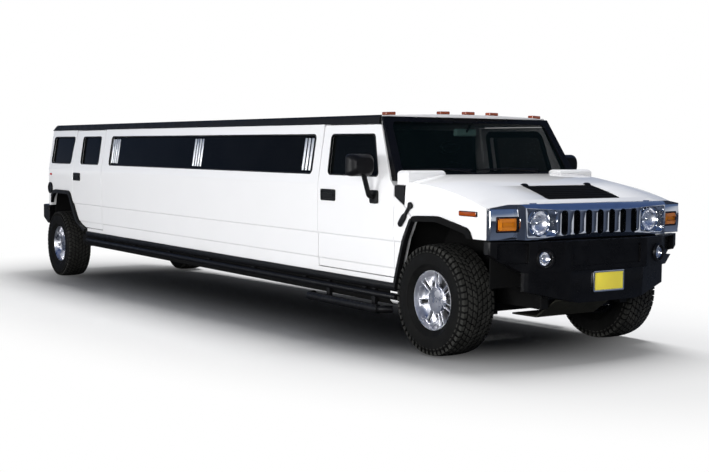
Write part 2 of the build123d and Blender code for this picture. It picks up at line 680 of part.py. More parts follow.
# Front bumper: swept wings with pockets, fog lamp bores, a recessed middle and a lower tier for the plate
BUMPER_BACK_X = 706
BUMPER_HIGH_Z = 932
BUMPER_LOW_Z = 470
BUMPER_STEP_Z = NOSE[1]
BUMPER_PLAN = [(866, 430), (806, 660), (660, 992), (600, 992), (BUMPER_BACK_X, 640)]
LOWER_PLAN = [(NOSE[0], 380), (770, 724), (BUMPER_BACK_X, 724)]
CHIN = [(740, 568), (740, 440), (169, 440)]
WING_RISE = [(730, 690), (1010, 690), (1010, 850)]
WING_AT = (733, 826, 846)
WING_POCKET = (240, 150, 18)
POCKET_DEPTH = 42
MIDDLE_RECESS = (720, 150, 14)
with BuildPart() as front_bumper:
    for plan, corner_rs, low_z, high_z in (
        (BUMPER_PLAN, (60, 90, 20, 0, 0), BUMPER_STEP_Z, BUMPER_HIGH_Z),
        (LOWER_PLAN, (60, 40, 0), BUMPER_LOW_Z, BUMPER_STEP_Z),
    ):
        mirrored = [(x, -y) for x, y in reversed(plan)]
        radii = [*corner_rs, *reversed(corner_rs)]
        extrude(outline(plan + mirrored, radii, Plane.XY.offset(low_z)), amount=high_z - low_z)
    wing_run = Vector(BUMPER_PLAN[2]) - Vector(BUMPER_PLAN[1])
    for side in (1, -1):
        for cut in (CHIN, WING_RISE):
            extrude(outline([(side * y, z) for y, z in cut], 0, Plane.YZ), amount=1000, mode=Mode.SUBTRACT)
        x, y, z = WING_AT
        along = (wing_run.X, side * wing_run.Y, 0)
        outward = (wing_run.Y, -side * wing_run.X, 0)
        wing_face = Plane(origin=(x, side * y, z), x_dir=along, z_dir=outward)
        with BuildSketch(wing_face.offset(-POCKET_DEPTH)):
            RectangleRounded(*WING_POCKET)
        extrude(amount=200, mode=Mode.SUBTRACT)
    with BuildSketch(Plane.YZ.offset(BUMPER_PLAN[0][0] - MIDDLE_RECESS[2])):
        with Locations((0, (BUMPER_STEP_Z + BUMPER_HIGH_Z) / 2)):
            RectangleRounded(*MIDDLE_RECESS)
    extrude(amount=100, mode=Mode.SUBTRACT)
    with BuildSketch(Plane.YZ.offset(690)):
        with Locations((FOG_Y, FOG_Z), (-FOG_Y, FOG_Z)):
            Circle(FOG_R + GLASS_FIT)
    extrude(amount=300, mode=Mode.SUBTRACT)
    with Locations((FRAME_FRONT_X, RAIL_Y, 520), (FRAME_FRONT_X, -RAIL_Y, 520)):
        Box(BUMPER_BACK_X - FRAME_FRONT_X + 4, 60, 70, align=(Align.MIN, Align.CENTER, Align.CENTER))
export("front_bumper", front_bumper.part)

SKID_W = 620
SKID_PLATE = [
    (730, 470),
    (640, 452),
    (430, 306),
    (150, 300),
    (150, 314),
    (425, 320),
    (632, 464),
    (632, 470),
]
with BuildPart() as skid_plate:
    extrude(outline(SKID_PLATE, 0), amount=SKID_W / 2, both=True)
export("skid_plate", skid_plate.part)

# Rear bumper: a deep step with swept corners on the frame's ends
REAR_BUMPER = [
    (TAIL_X - 6, 797),
    (TAIL_X - 320, 797),
    STERN,
    (TAIL_X - 290, 640),
    (TAIL_X - 80, 545),
    (TAIL_X - 20, 545),
]
REAR_BUMPER_PLAN = [(TAIL_X, 985), (TAIL_X - 250, 985), (STERN[0], 880)]
with BuildPart() as rear_bumper:
    extrude(outline(REAR_BUMPER, (0, 18, 0, 0, 30, 0)), amount=SIDE_REACH, both=True)
    mirrored = [(x, -y) for x, y in reversed(REAR_BUMPER_PLAN)]
    plan = outline(REAR_BUMPER_PLAN + mirrored, (0, 60, 0, 0, 60, 0), Plane.XY.offset(SILL_Z))
    extrude(plan, amount=300, mode=Mode.INTERSECT)
    with Locations((TAIL_X + 68, RAIL_Y, FRAME_HIGH_Z), (TAIL_X + 68, -RAIL_Y, FRAME_HIGH_Z)):
        Box(130, 60, 90, align=(Align.MAX, Align.CENTER, Align.MIN))
export("rear_bumper", rear_bumper.part)

# Black body trims: sills, side steps, arch lips, cowl vents, roof rails and the fuel cap
SILL_FRONT_X = -490
TUBE_R = 28
TUBE_Y = 978
TUBE_Z = 408
TUBE_HOLDERS = 7
TUBE_HOLDER = (50, 40, 64)
STEP_PATH = [(-580, 950), (-650, 1045), (-1730, 1045), (-1800, 950)]
STEP_R = 30
STEP_Z = 296
STEP_HOLDER_XS = (-840, -1540)
LIP_W = 46
COWL_LIP_W = 30
LIP_PROUD = 24
COWL_VENT = [(COWL_X, 1222), (COWL_X, 1308), (-380, 1308), (-384, 1156)]
COWL_LIP_REGION = [(-620, 524), (-620, 880), (-276, 1068), (-150, 942), (-150, 524)]
HOOD_LIP_REGION = [(-262, 1068), (-262, 1200), (700, 1200), (700, HOOD_LOW_Z), (-138, HOOD_LOW_Z)]
REAR_LIP_REGION = [
    (SILL_REAR_X - 16, 526),
    (SILL_REAR_X - 16, 1100),
    (TAIL_X + 170, 1100),
    (TAIL_X + 170, 806),
    (TAIL_X + 640, 806),
    (TAIL_X + 1340, 526),
]
FUEL_CAP = (TAIL_X + 112, 1035)
FUEL_CAP_R = 76


def arch_lip(points, radii, region, width):
    """Black moulding along an arch on the left, kept inside a side-view region."""
    low_y, high_y = SIDE_Y - 20, SIDE_Y + LIP_PROUD
    with BuildPart() as lip:
        extrude(outline(points, radii, Plane.XZ.offset(-low_y), grow=-0.5), amount=low_y - high_y)
        inner = outline(points, radii, Plane.XZ.offset(-low_y + 20), grow=-width)
        extrude(inner, amount=-100, mode=Mode.SUBTRACT)
        extrude(outline(region, 0), amount=-SIDE_REACH, mode=Mode.INTERSECT)
    return lip.part


with BuildPart() as sill:
    with BuildSketch(Plane.YZ.offset(SILL_REAR_X)):
        with BuildLine():
            Polyline((912, SILL_Z), (998, SILL_Z), (1002, 500))
            ThreePointArc((1002, 500), (988, 460), (950, 446))
            Polyline((950, 446), (912, 446), (912, SILL_Z))
        make_face()
        with Locations((TUBE_Y, TUBE_Z)):
            Circle(TUBE_R)
    extrude(amount=SILL_FRONT_X - SILL_REAR_X)
with BuildPart() as sill_holders:
    holder_pitch = (SILL_FRONT_X - SILL_REAR_X) / TUBE_HOLDERS
    for i in range(TUBE_HOLDERS):
        with Locations((SILL_FRONT_X - (i + 0.5) * holder_pitch, TUBE_Y - 28, 456)):
            Box(*TUBE_HOLDER, align=(Align.CENTER, Align.CENTER, Align.MAX))
with BuildPart() as step:
    with BuildLine(Plane.XY.offset(STEP_Z)) as step_path:
        FilletPolyline(*STEP_PATH, radius=70)
    with BuildSketch(Plane(origin=step_path.line @ 0, z_dir=step_path.line % 0)):
        Circle(STEP_R)
    sweep(path=step_path.line)
    for x in STEP_HOLDER_XS:
        with Locations((x, 1045, STEP_Z)):
            Box(50, 110, 24, align=(Align.CENTER, Align.MAX, Align.CENTER))
        with Locations((x, 950, 456)):
            Box(50, 30, 456 - STEP_Z + 12, align=(Align.CENTER, Align.CENTER, Align.MAX))
with BuildPart() as roof_rail:
    with BuildSketch(Plane.YZ.offset(ROOF_REAR_X)):
        with BuildLine():
            Polyline(
                (ROOF_Y, RAIL_Z + 0.5),
                (skin_y(RAIL_Z) + 2, RAIL_Z + 0.5),
                (skin_y(ROOF_EDGE_Z) + 4, ROOF_EDGE_Z - 12),
                (skin_y(ROOF_EDGE_Z) - 8, ROOF_EDGE_Z + 4),
                (ROOF_Y, ROOF_EDGE_Z + 4),
                close=True,
            )
        make_face()
    extrude(amount=ROOF_FRONT_X - 12 - ROOF_REAR_X)
    extrude(outline(TAIL_SLOPE, 0), amount=-SIDE_REACH, mode=Mode.SUBTRACT)
with BuildPart() as body_trims:
    for piece in (
        sill.part,
        sill_holders.part,
        step.part,
        roof_rail.part,
        side_wall(COWL_VENT, 0, depth=(4, 40)),
        arch_lip(FRONT_ARCH, FRONT_ARCH_RS, COWL_LIP_REGION, COWL_LIP_W),
        arch_lip(REAR_ARCH, REAR_ARCH_RS, REAR_LIP_REGION, LIP_W),
    ):
        add(both_sides(piece))
    with BuildSketch(Plane.XZ.offset(SIDE_Y)):
        with Locations(FUEL_CAP):
            Circle(FUEL_CAP_R)
    extrude(amount=12)
export("body_trims", body_trims.part)

with BuildPart() as hood_trims:
    add(both_sides(arch_lip(FRONT_ARCH, FRONT_ARCH_RS, HOOD_LIP_REGION, LIP_W)))
    add(hood_layer(1, 2, VENT_DEPTH - GLASS_FIT))
export("hood_trims", hood_trims.part)

# Doors, with glass, handles and the front doors' mirrors
FRONT_HANDLE = (-1489, 1197)
REAR_HANDLE = (QUARTER_X + 150, 1208)
HANDLE = (226, 100, 16)
HANDLE_GRIP = (190, 30)
HANDLE_T = 12
MIRROR_X = -780
MIRROR_BASE = (104, 110)
MIRROR_ARM_R = 21
MIRROR_HEADS = (
    # station, width, height, corner radius
    (-838, 232, 178, 34),
    (-770, 224, 172, 44),
    (-722, 168, 124, 50),
)
MIRROR_HEAD_AT = (SIDE_Y + 138, 1466)


def handle(x, z):
    """Left door handle: a rounded plate with a grip bar over its scooped middle."""
    with BuildPart() as body:
        with BuildSketch(Plane.XZ.offset(-SIDE_Y)):
            with Locations((x, z)):
                RectangleRounded(*HANDLE)
        extrude(amount=-HANDLE_T)
        with BuildSketch(Plane.XZ.offset(-SIDE_Y - HANDLE_T / 2)):
            with Locations((x, z)):
                RectangleRounded(HANDLE_GRIP[0], 2.2 * HANDLE_GRIP[1], 14)
        extrude(amount=-HANDLE_T, mode=Mode.SUBTRACT)
        with BuildSketch(Plane.XZ.offset(-SIDE_Y)):
            with Locations((x, z)):
                RectangleRounded(*HANDLE_GRIP, 10)
        extrude(amount=-1.5 * HANDLE_T)
    return body.part


with BuildPart() as front_door:
    add(side_wall(FRONT_DOOR, DOOR_R, creased=True, windows=[FRONT_WINDOW]))
    add(hinge_seat(FRONT_DOOR_X), mode=Mode.SUBTRACT)
export_pair("front_door", front_door.part)
export_pair("front_door_glass", side_wall(FRONT_WINDOW, WINDOW_R, depth=GLASS_DEPTH, grow=-GLASS_FIT))

with BuildPart() as front_fittings:
    add(handle(*FRONT_HANDLE))
    with BuildSketch(Plane.XZ.offset(-SIDE_Y)):
        with Locations((MIRROR_X, 1206)):
            RectangleRounded(*MIRROR_BASE, 20)
    extrude(amount=-20)
    with BuildLine(Plane.YZ.offset(MIRROR_X)) as arm:
        FilletPolyline((SIDE_Y + 8, 1206), (SIDE_Y + 58, 1212), (SIDE_Y + 122, 1420), radius=30)
    with BuildSketch(Plane(origin=arm.line @ 0, z_dir=arm.line % 0)):
        Circle(MIRROR_ARM_R)
    sweep(path=arm.line)
    for x, width, height, radius in MIRROR_HEADS:
        with BuildSketch(Plane.YZ.offset(x)):
            with Locations(MIRROR_HEAD_AT):
                RectangleRounded(width, height, radius)
    loft()
export_pair("front_door_fittings", front_fittings.part)

with BuildPart() as rear_door:
    add(side_wall(REAR_DOOR, DOOR_R, creased=True, windows=[REAR_WINDOW]))
    extrude(outline(REAR_ARCH, REAR_ARCH_RS, grow=1.5 * GAP), amount=-SIDE_REACH, mode=Mode.SUBTRACT)
    add(hinge_seat(REAR_DOOR_X), mode=Mode.SUBTRACT)
export_pair("rear_door", rear_door.part)
export_pair("rear_door_glass", side_wall(REAR_WINDOW, WINDOW_R, depth=GLASS_DEPTH, grow=-GLASS_FIT))
export_pair("rear_door_fittings", handle(*REAR_HANDLE))

# Tailgate with a shallow panel below its glass
TAILGATE_LOW_Z = 806
REAR_OPENING = [(690, 1330), (660, 1700), (-660, 1700), (-690, 1330)]
TAIL_PANEL = (1180, 300, 40)
TAIL_PANEL_DEPTH = 12
TAIL_PLANE = Plane.YZ.offset(TAIL_X)
with BuildPart() as tailgate:
    with Locations((TAIL_X, 0, TAILGATE_LOW_Z)):
        tailgate_h = DOOR_HIGH_Z - TAILGATE_LOW_Z
        Box(WALL, 2 * TAILGATE_Y, tailgate_h, align=(Align.MIN, Align.CENTER, Align.MIN))
    extrude(outline(REAR_OPENING, WINDOW_R, TAIL_PLANE), amount=WALL, mode=Mode.SUBTRACT)
    with BuildSketch(TAIL_PLANE):
        with Locations((0, 1070)):
            RectangleRounded(*TAIL_PANEL)
    extrude(amount=TAIL_PANEL_DEPTH, mode=Mode.SUBTRACT)
    for y in (HINGE_Y, -HINGE_Y):
        with Locations((TAIL_X, y, DOOR_HIGH_Z)):
            Cylinder(HINGE_R + HINGE_FIT, HINGE_H + GAP, rotation=(90, 0, 0), mode=Mode.SUBTRACT)
export("tailgate", tailgate.part)

with BuildPart() as tailgate_glass:
    extrude(outline(REAR_OPENING, WINDOW_R, TAIL_PLANE.offset(GLASS_DEPTH[0]), grow=-GLASS_FIT), amount=GAP)
export("tailgate_glass", tailgate_glass.part)

# Wheels: tyre of straight facets round a deep-dished rim with double-ribbed spokes and a broad sunk cap
RIM_R = 232
RIM_LIP_Y = 122
TYRE_PROFILE = (
    # radius, half width
    (TYRE_R, 128),
    (TYRE_R - 24, 150),
    (TYRE_R - 110, 157.5),
    (RIM_R, 112),
)
RIM_SEAT_R = RIM_R - RUNNING_FIT
RIM_SECTION = [(-112, RIM_SEAT_R), (RIM_LIP_Y, RIM_SEAT_R), (RIM_LIP_Y, 224), (44, 198), (-112, 204)]
HUB_R = 90
CAP_R = 111
HUB_SECTION = [(20, 0), (20, HUB_R), (60, HUB_R), (60, CAP_R), (74, CAP_R), (84, CAP_R - 30), (84, 0)]
SPOKES = 7
SPOKE_PHASE = 35
SPOKE_ROOT = (80, 50)
SPOKE_TIP = (214, 62)
SPOKE_GROOVE = (96, 16)
SPOKE_YS = (20, 84)


def tyre():
    """Tyre about the Y axis, centred on its own middle plane."""
    outer = [(w, r) for r, w in TYRE_PROFILE]
    inner = [(-w, r) for r, w in reversed(TYRE_PROFILE)]
    with BuildPart() as body:
        with BuildSketch(Plane.YZ):
            with BuildLine():
                Polyline(*outer, *inner, close=True)
            make_face()
        revolve(axis=Axis.Y)
    return body.part


def rim():
    """Left wheel's rim about the Y axis, its face looking outboard."""
    (root_r, root_w), (tip_r, tip_w) = SPOKE_ROOT, SPOKE_TIP
    spoke = [(root_r, root_w / 2), (tip_r, tip_w / 2), (tip_r, -tip_w / 2), (root_r, -root_w / 2)]
    with BuildPart() as body:
        with BuildSketch(Plane.YZ):
            for section in (RIM_SECTION, HUB_SECTION):
                with BuildLine():
                    Polyline(*section, close=True)
                make_face()
        revolve(axis=Axis.Y)
        spoke_from, spoke_to = SPOKE_YS
        with BuildSketch(Plane.XZ.offset(-spoke_from)):
            with PolarLocations(0, SPOKES, SPOKE_PHASE):
                with BuildLine():
                    Polyline(*spoke, close=True)
                make_face()
        extrude(amount=spoke_from - spoke_to)
        with BuildSketch(Plane.XZ.offset(-spoke_to)):
            with PolarLocations((CAP_R + tip_r) / 2, SPOKES, SPOKE_PHASE):
                RectangleRounded(*SPOKE_GROOVE, SPOKE_GROOVE[1] / 2 - 1)
        extrude(amount=16, mode=Mode.SUBTRACT)
        with BuildSketch(Plane.XZ):
            Circle(SPINDLE_R + RUNNING_FIT)
        extrude(amount=-60, mode=Mode.SUBTRACT)
    return body.part


for end, x, z in (("front", 0, TYRE_R), ("rear", REAR_AXLE_X, REAR_AXLE_Z)):
    hub = Location((x, WHEEL_Y, z))
    export_pair(f"tyre_{end}", tyre().moved(hub))
    export_pair(f"rim_{end}", rim().moved(hub))

# Steering knuckles: upright with king pins, spindle and brake disc
KNUCKLE_H = 190
with BuildPart() as knuckle:
    with Locations((0, KINGPIN_Y, TYRE_R)):
        Box(64, 56, KNUCKLE_H)
        Cylinder(KINGPIN_R, KNUCKLE_H + 80)
    with Locations(Location((0, KINGPIN_Y, TYRE_R), (-90, 0, 0))):
        Cylinder(SPINDLE_R, SPINDLE_END_Y - KINGPIN_Y, align=(Align.CENTER, Align.CENTER, Align.MIN))
    with Locations(Location((0, WHEEL_Y - 40, TYRE_R), (-90, 0, 0))):
        Cylinder(DISC_R, 26)
export_pair("knuckle", knuckle.part)

# Front suspension: cross member and arms that hold the king pins
ARM_T = 30
ARM_ZS = (TYRE_R - KNUCKLE_H / 2 - 18, TYRE_R + KNUCKLE_H / 2 + 18)
ARM_ROOT = 150
ARM_TIP = 34
with BuildPart() as front_suspension:
    with Locations((0, 0, FRAME_LOW_Z)):
        Box(180, 2 * RAIL_Y + 60, 78, align=(Align.CENTER, Align.CENTER, Align.MAX))
    for z in ARM_ZS:
        with BuildSketch(Plane.XY.offset(z - ARM_T / 2)):
            for side in (1, -1):
                with BuildLine():
                    Polyline(
                        (-ARM_ROOT, side * (RAIL_Y + 40)),
                        (ARM_ROOT, side * (RAIL_Y + 40)),
                        (ARM_TIP, side * (KINGPIN_Y + ARM_TIP)),
                        (-ARM_TIP, side * (KINGPIN_Y + ARM_TIP)),
                        close=True,
                    )
                make_face()
            with Locations((0, KINGPIN_Y), (0, -KINGPIN_Y)):
                Circle(KINGPIN_R + RUNNING_FIT, mode=Mode.SUBTRACT)
        extrude(amount=ARM_T)
    for side in (1, -1):
        with Locations((0, side * (RAIL_Y + FRAME_RAIL_W / 2 + 21), TYRE_R)):
            Box(240, 42, ARM_ZS[1] - ARM_ZS[0] + ARM_T)
export("front_suspension", front_suspension.part)

# Rear axle with its differential, turned, on two spring columns
REAR_AXLE_PROFILE = (
    # half width, radius
    (0, 150),
    (70, 138),
    (130, 96),
    (170, 52),
    (WHEEL_Y - 60, 52),
    (WHEEL_Y - 60, DISC_R),
    (WHEEL_Y - 34, DISC_R),
    (WHEEL_Y - 34, SPINDLE_R),
    (SPINDLE_END_Y, SPINDLE_R),
    (SPINDLE_END_Y, 0),
)
SPRING_R = 58
with BuildPart() as rear_axle:
    with BuildSketch(Plane.YZ):
        with BuildLine():
            Polyline(*REAR_AXLE_PROFILE, (0, 0), close=True)
        make_face()
        mirror(about=Plane.YZ)
    revolve(axis=Axis.Y)
    spring_h = FRAME_LOW_Z - RUNNING_FIT - REAR_AXLE_Z
    with Locations((0, RAIL_Y, 0), (0, -RAIL_Y, 0)):
        Cylinder(SPRING_R, spring_h, align=(Align.CENTER, Align.CENTER, Align.MIN))
export("rear_axle", rear_axle.part.moved(Location((REAR_AXLE_X, 0, REAR_AXLE_Z))))

# Engine block on its cross member, with the radiator behind the grille
with BuildPart() as engine_block:
    with Locations((-30, 0, 760)):
        Box(760, 620, 520)
    with Locations((0, 0, FRAME_HIGH_Z - 30)):
        Box(120, 2 * RAIL_Y - FRAME_RAIL_W, 40)
    with Locations((656, 0, FRAME_HIGH_Z)):
        Box(80, 960, 574, align=(Align.CENTER, Align.CENTER, Align.MIN))
export("engine_block", engine_block.part)

# Wheel housings: dark liners over all four wheels
LINER_T = 12
FRONT_LINER = [(-560, 575), (-560, 780), (-338, 1112), (122, 1126), (480, 1052), (557, 862), (557, 575)]
FRONT_ROOM = [(-536, 575), (-520, 800), (-330, 1098), (120, 1112), (470, 1040), (545, 860), (545, 575)]
REAR_LINER = [(919, 560), (569, 860), (354, 1042), (-186, 1042), (-368, 905), (-368, 560)]
REAR_ROOM = [(899, 560), (559, 850), (349, 1030), (-181, 1030), (-356, 900), (-356, 560)]


def housing(shell, room, y_wall, y_open):
    """Liner of a left wheel: a bent shell, closed towards the middle of the vehicle."""
    with BuildPart() as liner:
        add(side_prism(shell, y_wall, y_open))
        add(side_prism(room, y_wall + LINER_T, SIDE_Y), mode=Mode.SUBTRACT)
    return both_sides(liner.part)


with BuildPart() as wheel_housings:
    add(housing(FRONT_LINER, FRONT_ROOM, 480, 890))
    rear_shell, rear_room = ([(REAR_AXLE_X + x, z) for x, z in row] for row in (REAR_LINER, REAR_ROOM))
    add(housing(rear_shell, rear_room, REAR_HOUSING_Y, FLOOR_Y))
export("wheel_housings", wheel_housings.part)

# Cabin: dashboard with steering wheel, and the partition behind the front seats
DRIVER_Y = 400
DASHBOARD = [(-600, 900), (-600, 1338), (-640, 1350), (-860, 1320), (-900, 1240), (-760, 1000)]
WHEEL_TILT = -65
STEERING_R = 185
PARTITION_X = B_PILLAR_X - 70
UPRIGHT = (Align.CENTER, Align.CENTER, Align.MIN)
with BuildPart() as cabin_fittings:
    extrude(outline(DASHBOARD, (0, 0, 30, 40, 40, 0)), amount=840, both=True)
    with Locations(Location((-985, DRIVER_Y, 1230), (0, WHEEL_TILT, 0))):
        Torus(STEERING_R, 16)
        Cylinder(48, 30)
        Box(2 * STEERING_R - 30, 30, 14)
    with Locations(Location((-920, DRIVER_Y, 1200), (0, WHEEL_TILT, 0))):
        Cylinder(26, 180)
    with Locations((PARTITION_X, 0, FLOOR_TOP_Z)):
        Box(40, 1640, 1175, align=UPRIGHT)
export("cabin_fittings", cabin_fittings.part)

# Seats: two in front, a long bench down the left of the saloon, one across its rear
SEAT_H = 350
SEAT_W = 540
SEAT_BACK = [(-1480, 900), (-1560, 1560), (-1640, 1560), (-1600, 600), (-1480, 600)]
BENCH_XS = (-2000, REAR_AXLE_X + 999)
REAR_BENCH_W = 1240
with BuildPart() as seats:
    for y in (DRIVER_Y, -DRIVER_Y):
        with Locations((-1300, y, FLOOR_TOP_Z)):
            Box(520, SEAT_W + 20, SEAT_H, align=UPRIGHT)
        extrude(outline(SEAT_BACK, 0, Plane.XZ.offset(-y)), amount=SEAT_W / 2, both=True)
    bench_x = sum(BENCH_XS) / 2
    bench_l = BENCH_XS[0] - BENCH_XS[1]
    for x, y, length, width, height in (
        (bench_x, 700, bench_l, 420, SEAT_H),
        (bench_x, 860, bench_l, 110, 690),
        (REAR_AXLE_X + 99, 0, 700, REAR_BENCH_W, SEAT_H),
        (REAR_AXLE_X - 261, 0, 150, REAR_BENCH_W, 730),
    ):
        with Locations((x, y, FLOOR_TOP_Z)):
            Box(length, width, height, align=UPRIGHT)
export("seats", seats.part)
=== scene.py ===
"""Looks of a white stretched off-road limousine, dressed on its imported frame."""

import logging
import math
from dataclasses import dataclass
from enum import Enum
from typing import Callable, Sequence

import bmesh
import bpy
from mathutils import Matrix, Vector


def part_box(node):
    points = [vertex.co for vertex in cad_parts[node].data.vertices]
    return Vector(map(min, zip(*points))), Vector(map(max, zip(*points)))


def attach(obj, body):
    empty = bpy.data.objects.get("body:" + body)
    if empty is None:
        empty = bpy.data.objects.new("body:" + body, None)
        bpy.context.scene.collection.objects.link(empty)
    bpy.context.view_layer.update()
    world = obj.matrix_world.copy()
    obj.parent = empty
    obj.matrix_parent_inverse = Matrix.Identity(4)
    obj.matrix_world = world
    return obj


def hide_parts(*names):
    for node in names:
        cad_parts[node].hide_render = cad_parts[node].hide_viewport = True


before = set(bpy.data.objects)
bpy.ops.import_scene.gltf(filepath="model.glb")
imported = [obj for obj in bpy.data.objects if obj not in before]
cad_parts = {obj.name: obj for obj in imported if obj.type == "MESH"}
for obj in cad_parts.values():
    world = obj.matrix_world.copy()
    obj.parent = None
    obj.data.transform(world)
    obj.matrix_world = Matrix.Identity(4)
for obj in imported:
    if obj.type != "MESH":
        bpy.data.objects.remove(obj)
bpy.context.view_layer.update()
log = logging.getLogger("limousine")

Colour = tuple[float, float, float]
Point = tuple[float, float, float]
Profile = Sequence[tuple[float, float]]

# Pieces are drawn on a level body, x ahead of the front axle; BODY lifts the tail and sets them in the frame
WHEELBASE = 8.2
REAR_LIFT = 0.142
RAKE = math.asin(REAR_LIFT / WHEELBASE)
REAR_AXLE = -8.19877
STERN = REAR_AXLE - 0.441
# Angles past which an edge is bevelled, and is shaded sharp
SHARP = math.radians(32)
SMOOTH = math.radians(35)

AXLE = sum(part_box("tyre_front_left"), Vector()) / 2
BODY = (
    Matrix.Translation((AXLE.x, 0, AXLE.z))
    @ Matrix.Rotation(RAKE, 4, "Y")
    @ Matrix.Translation((0, 0, -AXLE.z))
)


class Value:
    """A shader socket that takes part in Python expressions."""

    def __init__(self, graph: "Graph", socket: bpy.types.NodeSocket) -> None:
        """Wrap a socket of a graph."""
        self.graph = graph
        self.socket = socket

    def _math(self, operation: str, *operands: "Value | float") -> "Value":
        """Add a Math node for an operation on operands."""
        inputs = dict(enumerate(operands))
        return self.graph.node("ShaderNodeMath", {"operation": operation}, inputs)

    def __add__(self, other: "Value | float") -> "Value":
        """Sum of two values."""
        return self._math("ADD", self, other)

    __radd__ = __add__

    def __mul__(self, other: "Value | float") -> "Value":
        """Product of two values."""
        return self._math("MULTIPLY", self, other)

    __rmul__ = __mul__

    def wave(self) -> "Value":
        """Sine of the value."""
        return self._math("SINE", self)

    def most(self, other: "Value | float") -> "Value":
        """Greater of two values."""
        return self._math("MAXIMUM", self, other)

    def root(self) -> "Value":
        """Square root of the value."""
        return self._math("SQRT", self)

    def range(self, low: float, high: float, to_low: float = 0.0, to_high: float = 1.0) -> "Value":
        """Carry the value smoothly from one range to another.

        Args:
            low: Start of the range read.
            high: End of the range read.
            to_low: Result at the start.
            to_high: Result at the end.

        Returns:
            The carried value, held at both ends.
        """
        inputs = {0: self, 1: low, 2: high, 3: to_low, 4: to_high}
        return self.graph.node("ShaderNodeMapRange", {"interpolation_type": "SMOOTHSTEP"}, inputs)


class Nodes:
    """A shader node tree and the means to add to it."""

    def __init__(self, tree: bpy.types.NodeTree) -> None:
        """Wrap a tree."""
        self.tree = tree

    def node(
        self, kind: str, settings: dict | None = None, inputs: dict | None = None, output: int | str = 0
    ) -> Value:
        """Add a node.

        Args:
            kind: Blender's name for the type of node.
            settings: Properties that are set first.
            inputs: Values or links by socket name or number.
            output: Which output is handed back.

        Returns:
            The chosen output as a value.
        """
        made = self.tree.nodes.new(kind)
        for key, value in (settings or {}).items():
            setattr(made, key, value)
        for key, value in (inputs or {}).items():
            if isinstance(value, Value):
                self.tree.links.new(value.socket, made.inputs[key])
            else:
                plain = (*value, 1.0) if isinstance(value, tuple) and made.inputs[key].type == "RGBA" else value
                made.inputs[key].default_value = plain
        return Value(self, made.outputs[output])

    def mix(self, factor: Value, first: "Value | Colour", second: "Value | Colour") -> Value:
        """Blend two colours by a factor."""
        inputs = {"Factor": factor, 6: first, 7: second}
        return self.node("ShaderNodeMix", {"data_type": "RGBA"}, inputs, output=2)

    def rays(self, *kinds: str) -> Value:
        """One for rays of the named kinds, else nought.

        Args:
            kinds: Light Path's names for kinds of ray.

        Returns:
            The value.
        """
        paths = [self.node("ShaderNodeLightPath", output=f"Is {kind} Ray") for kind in kinds]
        total = paths[0]
        for path in paths[1:]:
            total = total.most(path)
        return total


class Graph(Nodes):
    """Node tree of one material, ending in its Principled shader."""

    def __init__(self, name: str, **constants: "float | Colour") -> None:
        """Make a material.

        Args:
            name: Name of the material.
            constants: Values for the shader's own sockets, spaces written as underscores.
        """
        self.material = bpy.data.materials.new(name)
        self.material.use_nodes = True
        super().__init__(self.material.node_tree)
        self.shader = self.tree.nodes["Principled BSDF"]
        for key, value in constants.items():
            plain = (*value, 1.0) if isinstance(value, tuple) else value
            self.shader.inputs[key.replace("_", " ")].default_value = plain

    def place(self, turn: Point = (0, 0, 0), stretch: Point = (1, 1, 1)) -> Value:
        """Object coordinates, turned and stretched for a pattern.

        Args:
            turn: Turn about each axis.
            stretch: Scale along each axis.

        Returns:
            The coordinates.
        """
        coords = self.node("ShaderNodeTexCoord", output="Object")
        inputs = {"Vector": coords, "Rotation": turn, "Scale": stretch}
        return self.node("ShaderNodeMapping", inputs=inputs)

    def height(self) -> Value:
        """Height above the ground as a value."""
        return self.node("ShaderNodeSeparateXYZ", inputs={0: self.place()}, output="Z")

    def noise(self, scale: float, detail: float = 2.0, stretch: Point = (1, 1, 1)) -> Value:
        """Soft noise in object coordinates."""
        inputs = {"Vector": self.place(stretch=stretch), "Scale": scale, "Detail": detail}
        return self.node("ShaderNodeTexNoise", inputs=inputs)

    def feed(self, socket: str, value: Value) -> None:
        """Link a value to a socket of the shader."""
        self.tree.links.new(value.socket, self.shader.inputs[socket])

    def bump(self, height: Value, distance: float, strength: float = 1.0) -> None:
        """Raise the surface by a height map."""
        inputs = {"Height": height, "Distance": distance, "Strength": strength}
        self.feed("Normal", self.node("ShaderNodeBump", inputs=inputs))


@dataclass(frozen=True)
class Finish:
    """Base of all finishes: a name and the colour that is most of it."""

    name: str
    colour: Colour

    def dress(self) -> Graph:
        """Build the finish's node graph."""
        raise NotImplementedError

    @property
    def label(self) -> str:
        """Name of the finish's material, apart from the frame's own slots."""
        return f"{self.name}_finish"

    def material(self) -> bpy.types.Material:
        """Material of the finish, made once."""
        return bpy.data.materials.get(self.label) or self.dress().material


@dataclass(frozen=True)
class Paint(Finish):
    """Gloss paint under clear coat, greyer in patches towards the bottom of the body."""

    # Colour that the body turns towards in patches low down, more so towards the bottom.
    dust: Colour = (0.62, 0.6, 0.56)
    greying_top: float = 0.75

    def dress(self) -> Graph:
        """Build the paint's node graph.

        Returns:
            The graph, its material made.
        """
        graph = Graph(self.label, Roughness=0.35, Coat_Weight=0.8, Coat_Roughness=0.04, Specular_IOR_Level=0.4)
        cloud = graph.noise(2.5, 4.0)
        # Mask that greys the white in patches, from the height set above down to the bottom.
        low = graph.height().range(self.greying_top, 0.45) * cloud.range(0.35, 0.7) * 0.28
        shade = tuple(c * 0.97 for c in self.colour)
        tone = graph.mix(cloud, self.colour, shade)
        graph.feed("Base Color", graph.mix(low, tone, self.dust))
        graph.feed("Roughness", graph.noise(40.0).range(0.3, 0.7, 0.3, 0.4))
        graph.bump(graph.noise(180.0, 1.0), 0.0004, 0.12)
        return graph


